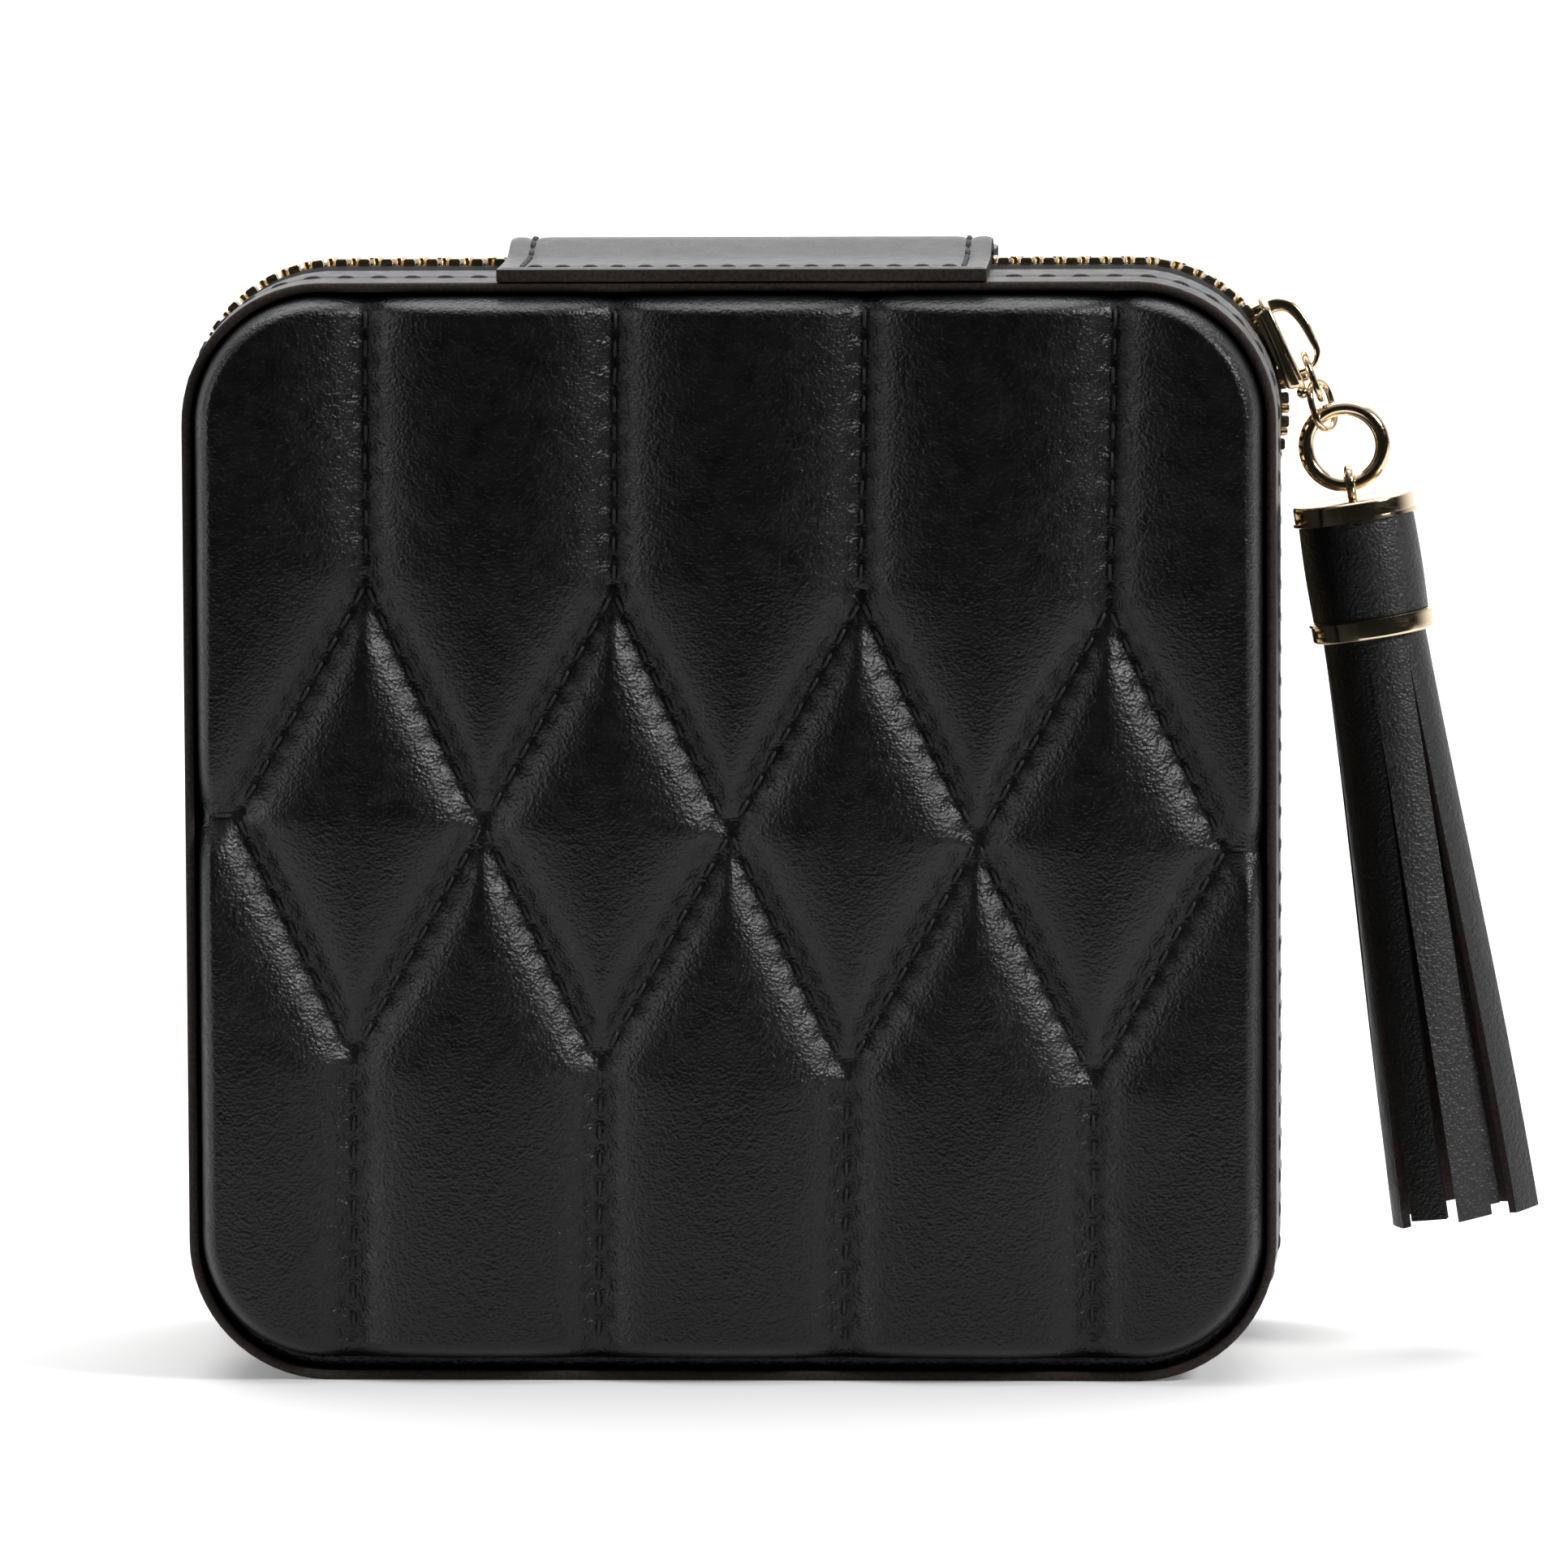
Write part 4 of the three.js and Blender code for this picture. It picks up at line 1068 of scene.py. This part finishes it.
def slider_bridge(build):
    """A flat strip that stands on the top plate: thick at the nose, thin and steep at the tail."""
    # Each is a place down the zip, a height above the plate, and the strip's thickness there
    route = [(-4.6, 0.6, 1.9), (-4.4, 1.9, 1.8), (-3.5, 3.1, 1.5), (-1.6, 3.75, 1.25),
             (0.8, 3.95, 1.0), (2.6, 3.9, 0.8), (3.8, 3.05, 0.65), (4.05, 1.9, 0.65),
             (3.95, 0.7, 0.8)]
    path = smooth_path([(down, TOP_PLATE + up, thick) for down, up, thick in route])
    ways = np.gradient(path[:, :2], axis=0)
    ways /= np.linalg.norm(ways, axis=1)[:, None]
    rings = []
    for (down, out, thick), (wd, wo) in zip(path, ways):
        ring = []
        for angle in full_turn(16):
            c, s = math.cos(angle), math.sin(angle)
            across = BRIDGE_HALF * np.sign(c) * abs(c) ** 0.45
            lift = thick / 2 * np.sign(s) * abs(s) ** 0.45
            ring.append(on_slider(out + wd * lift, down - wo * lift, across))
        rings.append(ring)
    build.rings(rings)


def ball(build, centre, radius):
    around = full_turn(14)
    rings = []
    for a in np.linspace(0.06, math.pi - 0.06, 9):
        wide = math.sin(a)
        ring = [wide * np.cos(around), wide * np.sin(around), np.full(14, math.cos(a))]
        rings.append(np.array(centre) + radius * np.stack(ring, 1))
    build.rings(rings)


def slider():
    build = Build()
    slider_plate(build, TOP_PLATE, TOP_PLATE + PLATE, 0.08)
    slider_plate(build, LOWER_PLATE - PLATE, LOWER_PLATE)
    for side in (LID, BASE):
        slider_flange(build, side)
    post = rounded(mirrored([(-SLIDER_HALF + 0.8, 0.85), (-SLIDER_HALF + 3, 0.3)]), 0.25, 3)
    build.rings([[on_slider(out, down, y) for down, y in post]
                 for out in (LOWER_PLATE - 0.3, TOP_PLATE + 0.3)])
    slider_bridge(build)
    ball(build, on_slider(TOP_PLATE + 0.35, SLIDER_HALF + 0.25, -1.2), 0.75)
    ball(build, on_slider(TOP_PLATE + 1.25, SLIDER_HALF - 1.3, 0), 0.6)
    build.object("slider_body", [GOLD], "slider", ["zip_slider"], 60)


# ---- chain ----

LINK_WIRE = 0.45           # radius of the CAD links' wire
LINK_DRAWN = 0.405         # drawn thinner, so that the links clear each other as they swing
RING_RADIUS = 4.55
RING_WIRE = 0.92
LINK_SPAN = 0.66 + LINK_WIRE   # from the lower pivot of the upper link to its wire's middle


def wire_loop(build, centres, normal, radius, sides=14):
    """A closed wire along centres that lie in one plane."""
    centres = np.array(centres)
    ways = np.roll(centres, -1, axis=0) - np.roll(centres, 1, axis=0)
    ways /= np.linalg.norm(ways, axis=1)[:, None]
    rings = []
    for centre, way in zip(centres, ways):
        flat = np.cross(way, normal)
        rings.append([centre + radius * (math.cos(a) * flat + math.sin(a) * np.array(normal))
                      for a in full_turn(sides)])
    build.rings(rings, closed=True)


def link(name, body, node, span, twist, top, foot, above, below):
    """A wire link that hangs from one pivot to the next, turned about its own length."""
    lean = math.atan2(foot[0] - top[0], top[1] - foot[1])
    length = math.dist(top, foot) + above + below
    bend = span / 2 + LINK_WIRE
    c, s = math.cos(math.radians(twist)), math.sin(math.radians(twist))
    down = np.array([math.sin(lean), 0, -math.cos(lean)])
    flat = np.array([math.cos(lean) * c, s, math.sin(lean) * c])
    centres = []
    for start, middle in ((0, length - bend), (math.pi, bend)):
        for a in np.linspace(start, start + math.pi, 14):
            up = middle + bend * math.sin(a) - below
            centres.append(np.array([foot[0], 0, foot[1]]) - down * up + flat * bend * math.cos(a))
    build = Build()
    wire_loop(build, centres, np.cross(flat, down), LINK_DRAWN)
    build.object(name, [GOLD], body, [node])


def chain():
    top, middle, foot, ring_centre = (pivot(j) for j in ("upper_link_swing", "lower_link_swing",
                                                         "ring_swing", "tassel_swing"))
    above, below = 1.15 + LINK_WIRE, 1.5 + LINK_WIRE
    link("upper_wire_link", "upper_link", "link_1", 3.2, 90, top, middle, above, LINK_SPAN)
    link("lower_wire_link", "lower_link", "link_2", 3.4, 58, middle, foot, LINK_SPAN, below)
    build = Build()
    x, z = ring_centre
    centres = [[x + RING_RADIUS * math.cos(a), 0, z + RING_RADIUS * math.sin(a)]
               for a in full_turn(72)]
    wire_loop(build, centres, [0, 1, 0], RING_WIRE, 20)
    build.object("ring", [GOLD], "ring", ["tassel_ring"])


# ---- tassel ----

CAP_RADIUS = 6.9
BAND_RADIUS = 7.25
EYE_RADIUS = 1.8
CAP_DROP = RING_RADIUS + EYE_RADIUS    # from the ring's centre to the cap's top
FRINGE_LENGTH = 70.0
BAND = 2.4                 # height of a gold band
SLEEVE = 11.0              # height of the leather between them
STRIP_THICKNESS = 1.15
STRIP_STEPS = 26


def on_tassel(radius, angle, down):
    """A point about the tassel's axis, below the cap's top; angle 0 is to the right."""
    ring = pivot("tassel_swing")
    c, s = math.cos(TASSEL_LEAN), math.sin(TASSEL_LEAN)
    across, depth = radius * math.cos(angle), radius * math.sin(angle)
    fall = CAP_DROP + down
    return [ring[0] + fall * s + across * c, depth, ring[1] - fall * c + across * s]


def lathe(build, profile, steps=72):
    """A closed profile [radius, distance down] turned about the tassel's axis."""
    build.rings([[on_tassel(r, a, down) for r, down in profile] for a in full_turn(steps)],
                closed=True)


def band_profile(outer, inner, top, foot, soft=0.35):
    arc = np.linspace(0, math.pi / 2, 5)
    upper = [(outer - soft + soft * math.sin(a), top + soft - soft * math.cos(a)) for a in arc]
    lower = [(outer - soft + soft * math.cos(a), foot - soft + soft * math.sin(a)) for a in arc]
    return [(inner, top)] + upper + lower + [(inner, foot)]


def tassel_cap():
    """Two gold bands with a leather sleeve between them, and an eye that the ring goes through."""
    down_axis = np.array(on_tassel(0, 0, 1)) - np.array(on_tassel(0, 0, 0))
    build = Build()
    lathe(build, [(0.01, 0.05)] + band_profile(BAND_RADIUS, 5.0, 0.0, BAND)[1:-1] + [(0.01, BAND)])
    lathe(build, [(CAP_RADIUS + 0.05, BAND - 0.55), (CAP_RADIUS + 0.55, BAND - 0.45),
                  (CAP_RADIUS + 0.6, BAND - 0.1), (CAP_RADIUS + 0.3, BAND + 0.05),
                  (CAP_RADIUS - 0.3, BAND)])
    eye_centre, depth_axis = np.array(on_tassel(0, 0, -EYE_RADIUS)), np.array([0, 1, 0])
    eye = [eye_centre + EYE_RADIUS * (math.cos(a) * depth_axis + math.sin(a) * down_axis)
           for a in full_turn(32)]
    wire_loop(build, eye, [math.cos(TASSEL_LEAN), 0, math.sin(TASSEL_LEAN)], 0.55)
    build.object("cap_top", [GOLD], "tassel", ["cap_top_band"], 50)

    sleeve = Build()
    top, foot = BAND + 0.1, BAND + 0.5 + SLEEVE
    profile = [(CAP_RADIUS - 1.1, top)]
    for t in np.linspace(0, 1, 16):
        profile.append((CAP_RADIUS + 0.12 * math.sin(math.pi * t), top + (foot - top) * t))
    profile.append((CAP_RADIUS - 1.1, foot))
    lathe(sleeve, profile)
    seam_angle = math.radians(80)
    for k in range(3):
        down = top + (k + 0.5) * (foot - top) / 3
        out = np.array(on_tassel(1, seam_angle, down)) - np.array(on_tassel(0, seam_angle, down))
        stitch(sleeve, on_tassel(CAP_RADIUS + 0.05, seam_angle, down), down_axis, out, 2.4, mark=1)
    sleeve.object("cap_leather", [STRIP, THREAD_BLACK], "tassel",
                  ["cap_sleeve"], 50)

    lower = Build()
    start = BAND + SLEEVE + 0.6
    lathe(lower, band_profile(BAND_RADIUS + 0.05, CAP_RADIUS - 0.9, start, start + BAND))
    lathe(lower, [(BAND_RADIUS - 0.1, start + 0.05), (BAND_RADIUS + 0.25, start + 0.12),
                  (BAND_RADIUS + 0.25, start + 0.42), (BAND_RADIUS - 0.1, start + 0.5)])
    lower.object("cap_foot", [GOLD], "tassel", ["cap_lower_band"], 50)


def fringe_strip(build, angle, top_radius, foot_radius, width, length, start, seed):
    """One leather strip that hangs from the cap and fans out towards its cut end."""
    r = np.random.default_rng(seed)
    drift, twist, bow = r.normal(0, 0.05), r.normal(0, 0.16), r.normal(0, 0.25)
    rings = []
    for i in range(STRIP_STEPS + 1):
        t = i / STRIP_STEPS
        fan = t * t * (3 - 2 * t) * 0.55 + t * 0.45
        radius = top_radius + (foot_radius - top_radius) * fan + bow * math.sin(math.pi * t)
        middle = angle + drift * t
        curl = 1 - 0.75 * t
        ring = []
        for side, order in ((1, np.linspace(-0.5, 0.5, 9)), (-1, np.linspace(0.5, -0.5, 9))):
            for share in order:
                arc = share * width / radius
                flat_x = share * width * math.cos(twist * t)
                lift = share * width * math.sin(twist * t)
                bent = radius * math.cos(arc) * curl + radius * (1 - curl)
                sideways = radius * math.sin(arc) * curl + flat_x * (1 - curl)
                near = math.hypot(bent + lift, sideways)
                around = middle + math.atan2(sideways, bent + lift)
                out = near + side * STRIP_THICKNESS / 2
                ring.append(on_tassel(out, around, start + length * t))
        rings.append(ring)
    build.rings(rings, marks=[0] * 8 + [1] * 10, cap_mark=1)


def fringe():
    """Two circles of strips, and a core that fills the cap behind them."""
    start = 2 * BAND + SLEEVE - 0.6
    build = Build()
    outer, inner = 8, 6
    for k in range(outer):
        angle = 2 * math.pi * (k + 0.3) / outer
        length = FRINGE_LENGTH + 1.2 + 0.5 * math.sin(k * 2.1)
        fringe_strip(build, angle, 5.55, 8.0, 4.5, length, start, 20 + k)
    for k in range(inner):
        angle = 2 * math.pi * (k + 0.75) / inner
        length = FRINGE_LENGTH + 0.3 * math.cos(k * 1.7)
        fringe_strip(build, angle, 3.9, 5.6, 4.6, length, start, 40 + k)
    build.object("fringe_strips", [STRIP, FLESH], "tassel", ["tassel_fringe"], 45)
    core = Build()
    lathe(core, [(0.01, start), (3.0, start), (3.3, start + 20), (0.01, start + 22)], 32)
    core.object("fringe_core", [FLESH], "tassel")


# ---- linings and fittings ----


def tray(name, side, body, node):
    """A velvet tray, filleted at its floor, with a rolled hem that meets the zip tape."""
    low, high = node_box(node)
    floor = abs(low[1]) if side == LID else high[1]
    hem = [(0.9, 2.0), (0.45, 2.6), (0.4, 3.4), (0.55, 4.2), (1.2, 4.75)]
    wall_side = [(d, 4.8) for d in (3, 8, 14)]
    fillet = [(floor - 0.8 - 1.6 * (1 - math.sin(a)), 4.8 + 1.6 * (1 - math.cos(a)))
              for a in np.linspace(0, math.pi / 2, 6)]
    outside = [(floor, 8.0), (floor, 4.4), (floor - 0.6, 4.0), (8, 4.0), (2.6, 4.0), (2.4, 2.2)]
    place, normal = outline_at(round_stations(2.4))
    build = Build()
    build.rings([np.stack([place[:, 0] - normal[:, 0] * inset, np.full(len(place), side * depth),
                           place[:, 1] - normal[:, 1] * inset], 1)
                 for depth, inset in outside + hem + wall_side + fillet])
    build.object(name, [VELVET], body, [node], 60)


def inner_limit(z, inset):
    """How far left the tray reaches at height z."""
    radius = RADIUS - inset
    drop = np.clip(RADIUS - z, 0, radius)
    return -(HALF_TOP + np.sqrt(np.maximum(radius * radius - drop * drop, 0)))


TRAY_INSET = 5.1


def ring_roll(index):
    """A padded roll that grips rings against its neighbour."""
    node = f"ring_roll_{index}"
    low, high = node_box(node)
    middle_z, half_z = (low[2] + high[2]) / 2, (high[2] - low[2]) / 2
    crown, foot = low[1], high[1]
    length = high[0] - low[0]
    ends = np.linspace(0, 0.035, 5), np.linspace(0.965, 1, 5)
    rings = []
    for t in np.concatenate([ends[0], np.linspace(0.06, 0.94, 30), ends[1]]):
        end = min(t, 1 - t) * length
        swell = math.sqrt(max(0.02, 1 - max(0, 1 - end / 1.8) ** 2))
        puff = 1 + 0.015 * math.sin(t * 37 + index * 1.7) + 0.012 * math.sin(t * 17 + index)
        ring = []
        for a in full_turn(40):
            c, s = math.cos(a), math.sin(a)
            width = half_z * np.sign(c) * abs(c) ** 0.7 * (0.9 + 0.1 * swell)
            shape = ((s + 1) / 2) ** 0.62 if s > -1 else 0
            y = foot + (crown - foot) * shape * (0.93 + 0.07 * swell * puff)
            z = middle_z + width * (0.96 + 0.04 * puff) * (swell * 0.25 + 0.75)
            ring.append([low[0] + length * t, y, z])
        rings.append(ring)
    rings = np.array(rings)
    rings[:, :, 0] = np.maximum(rings[:, :, 0], inner_limit(rings[:, :, 2], TRAY_INSET))
    build = Build()
    build.rings(rings)
    piece = build.object(f"ring_roll_pad_{index}", [VELVET], "base", [node], 60)


def divider(node, name):
    """A board covered in velvet, with a rounded upper edge."""
    low, high = node_box(node)
    size = high - low
    long = 0 if size[0] > size[2] else 2
    short = 2 - long
    thick = size[short]
    middle = (low[short] + high[short]) / 2
    crown = [(low[1] + thick * 0.55 - thick * 0.55 * math.sin(a), thick / 2 * math.cos(a))
             for a in np.linspace(0, math.pi, 9)]
    section = [(high[1], thick / 2)] + crown + [(high[1], -thick / 2)]
    rings = np.zeros((24, len(section), 3))
    for ring, t in zip(rings, np.linspace(0, 1, 24)):
        ring[:, long] = low[long] + size[long] * t
        ring[:, short] = [middle + offset * (1 + 0.02 * math.sin(t * 23)) for _, offset in section]
        ring[:, 1] = [y for y, _ in section]
    build = Build()
    build.rings(rings)
    build.object(name, [VELVET], "base", [node], 60)


def rectangle(half_x, half_z, radius, centre_z, steps=8):
    """Points and normals round a rectangle with rounded corners."""
    places, normals = [], []
    for cx, cz, start in ((-1, 1, 90), (-1, -1, 180), (1, -1, 270), (1, 1, 0)):
        for a in np.radians(np.linspace(start, start + 90, steps)):
            n = np.array([math.cos(a), math.sin(a)])
            centre = np.array([cx * (half_x - radius), centre_z + cz * (half_z - radius)])
            places.append(centre + radius * n)
            normals.append(n)
    return np.array(places), np.array(normals)


FRAME_BORDER = 6.0
FRAME_STITCH = 3.3


def half_sizes(low, high):
    """Half the width and height of a box, and the height of its middle."""
    return (high[0] - low[0]) / 2, (high[2] - low[2]) / 2, (high[2] + low[2]) / 2


def mirror_frame():
    """A padded leather border, sewn along its middle."""
    low, high = node_box("mirror_frame")
    half_x, half_z, centre = half_sizes(low, high)
    back, front = low[1], high[1]
    middle = FRAME_BORDER / 2
    section = [
        (0.1, back), (0, back + 1.2), (0.25, back + 2.3), (0.9, front - 0.2), (1.7, front),
        (middle, front - 0.32), (FRAME_BORDER - 1.7, front), (FRAME_BORDER - 0.7, front - 0.25),
        (FRAME_BORDER - 0.15, front - 0.9), (FRAME_BORDER, back + 2.2), (3.3, back + 2.15),
        (3.2, back),
    ]
    build = Build()
    build.rings([[[p[0] - n[0] * inset, y, p[1] - n[1] * inset] for inset, y in section]
                 for p, n in zip(*rectangle(half_x, half_z, 3.0, centre))], closed=True)
    corners = [(x * (half_x - middle), centre + z * (half_z - middle))
               for x, z in ((-1, -1), (1, -1), (1, 1), (-1, 1))]
    for start, end in zip(corners, corners[1:] + corners[:1]):
        for (x, z), run in stitch_places(start, end, FRAME_STITCH):
            stitch(build, [x, front - 0.3, z], [run[0], 0, run[1]], [0, 1, 0], 2.3, mark=1)
    build.object("mirror_surround", [BLACK, THREAD_BLACK], "lid",
                 ["mirror_frame"], 50)


def mirror_plate():
    """The mirror, with a bevel round it."""
    low, high = node_box("mirror")
    half_x, half_z, centre = half_sizes(low, high)
    build = Build()
    rings = []
    for y, inset in ((low[1], 0.3), (low[1] + 0.3, 0), (high[1] - 0.5, 0), (high[1], 4.6)):
        places, _ = rectangle(half_x - inset, half_z - inset, 1.0, centre, 4)
        rings.append([[x, y, z] for x, z in places])
    build.rings(rings)
    build.object("mirror_plate", [GLASS], "lid", ["mirror"], 1)


POCKET_GATHERS = 15
POCKET_STEPS = 144, 26
POCKET_CLOTH = 0.4


def lid_pocket():
    """A gathered pocket: its top is drawn in by elastic, and its other edges are sewn down."""
    low, high = node_box("lid_pocket")
    width, height = high[0] - low[0], high[2] - low[2]
    v, u = (n / count for n, count in zip(np.mgrid[:POCKET_STEPS[1] + 1, :POCKET_STEPS[0] + 1],
                                          POCKET_STEPS[::-1]))
    hem = np.minimum(1, np.minimum(u, 1 - u) * width / 5) * np.minimum(1, v * height / 4)
    ripple = np.sin(u * math.pi * 2 * POCKET_GATHERS + 0.6 * np.sin(v * 5 + u * 9))
    lift = hem * (0.9 + 0.55 * ripple * (0.35 + 0.65 * v))
    elastic = 1 - 0.45 * np.exp(-(((v - 0.86) * height) ** 2))
    piping = 0.35 * np.exp(-(((v - 0.93) * height / 1.1) ** 2))
    y = low[1] + 0.55 + lift * elastic + piping * hem
    front = np.stack([low[0] + width * u, y, low[2] + height * v], 2)
    build = Build()
    build.rings(np.concatenate([front, front[:, ::-1] - [0, POCKET_CLOTH, 0]], 1))
    piece = build.object("gathered_pocket", [SATIN], "lid", ["lid_pocket"], 60)


def plain_nodes():
    """Materials for the CAD nodes that keep their own shape."""
    looks = {
        "back_board": FIBREBOARD, "base_wall_board": FIBREBOARD, "lid_board": FIBREBOARD,
        "lid_wall_board": FIBREBOARD, "lid_foam": FOAM_CREAM,
        "zip_bottom_stop": GOLD, "zip_top_stop": GOLD,
    }
    for node, material in looks.items():
        mesh = frame["nodes"][node].data
        mesh.materials.clear()
        mesh.materials.append(material)


camera()
studio()
quilted_lid()
back_panel()
wall("lid_wall", LID, LID_DEPTH, "lid", "lid_wall_leather", LID_PANEL_BACK)
wall("base_wall", BASE, BASE_DEPTH, "base", "base_wall_leather", BASE_PANEL_BACK)
tape("lid_tape", LID, "lid", "lid_zip_tape")
tape("base_tape", BASE, "base", "base_zip_tape")
teeth("lid_teeth", LID, "lid", ["lid_zip_teeth", "lid_zip_teeth_end"])
teeth("base_teeth", BASE, "base", ["base_zip_teeth"])
hinge_patch()
slider()
chain()
tassel_cap()
fringe()
tray("lid_velvet", LID, "lid", "lid_lining")
tray("base_velvet", BASE, "base", "base_lining")
for number in range(1, 6):
    ring_roll(number)
for node in ("cross_divider", "lower_divider", "upper_divider"):
    divider(node, node + "_velvet")
mirror_frame()
mirror_plate()
lid_pocket()
plain_nodes()
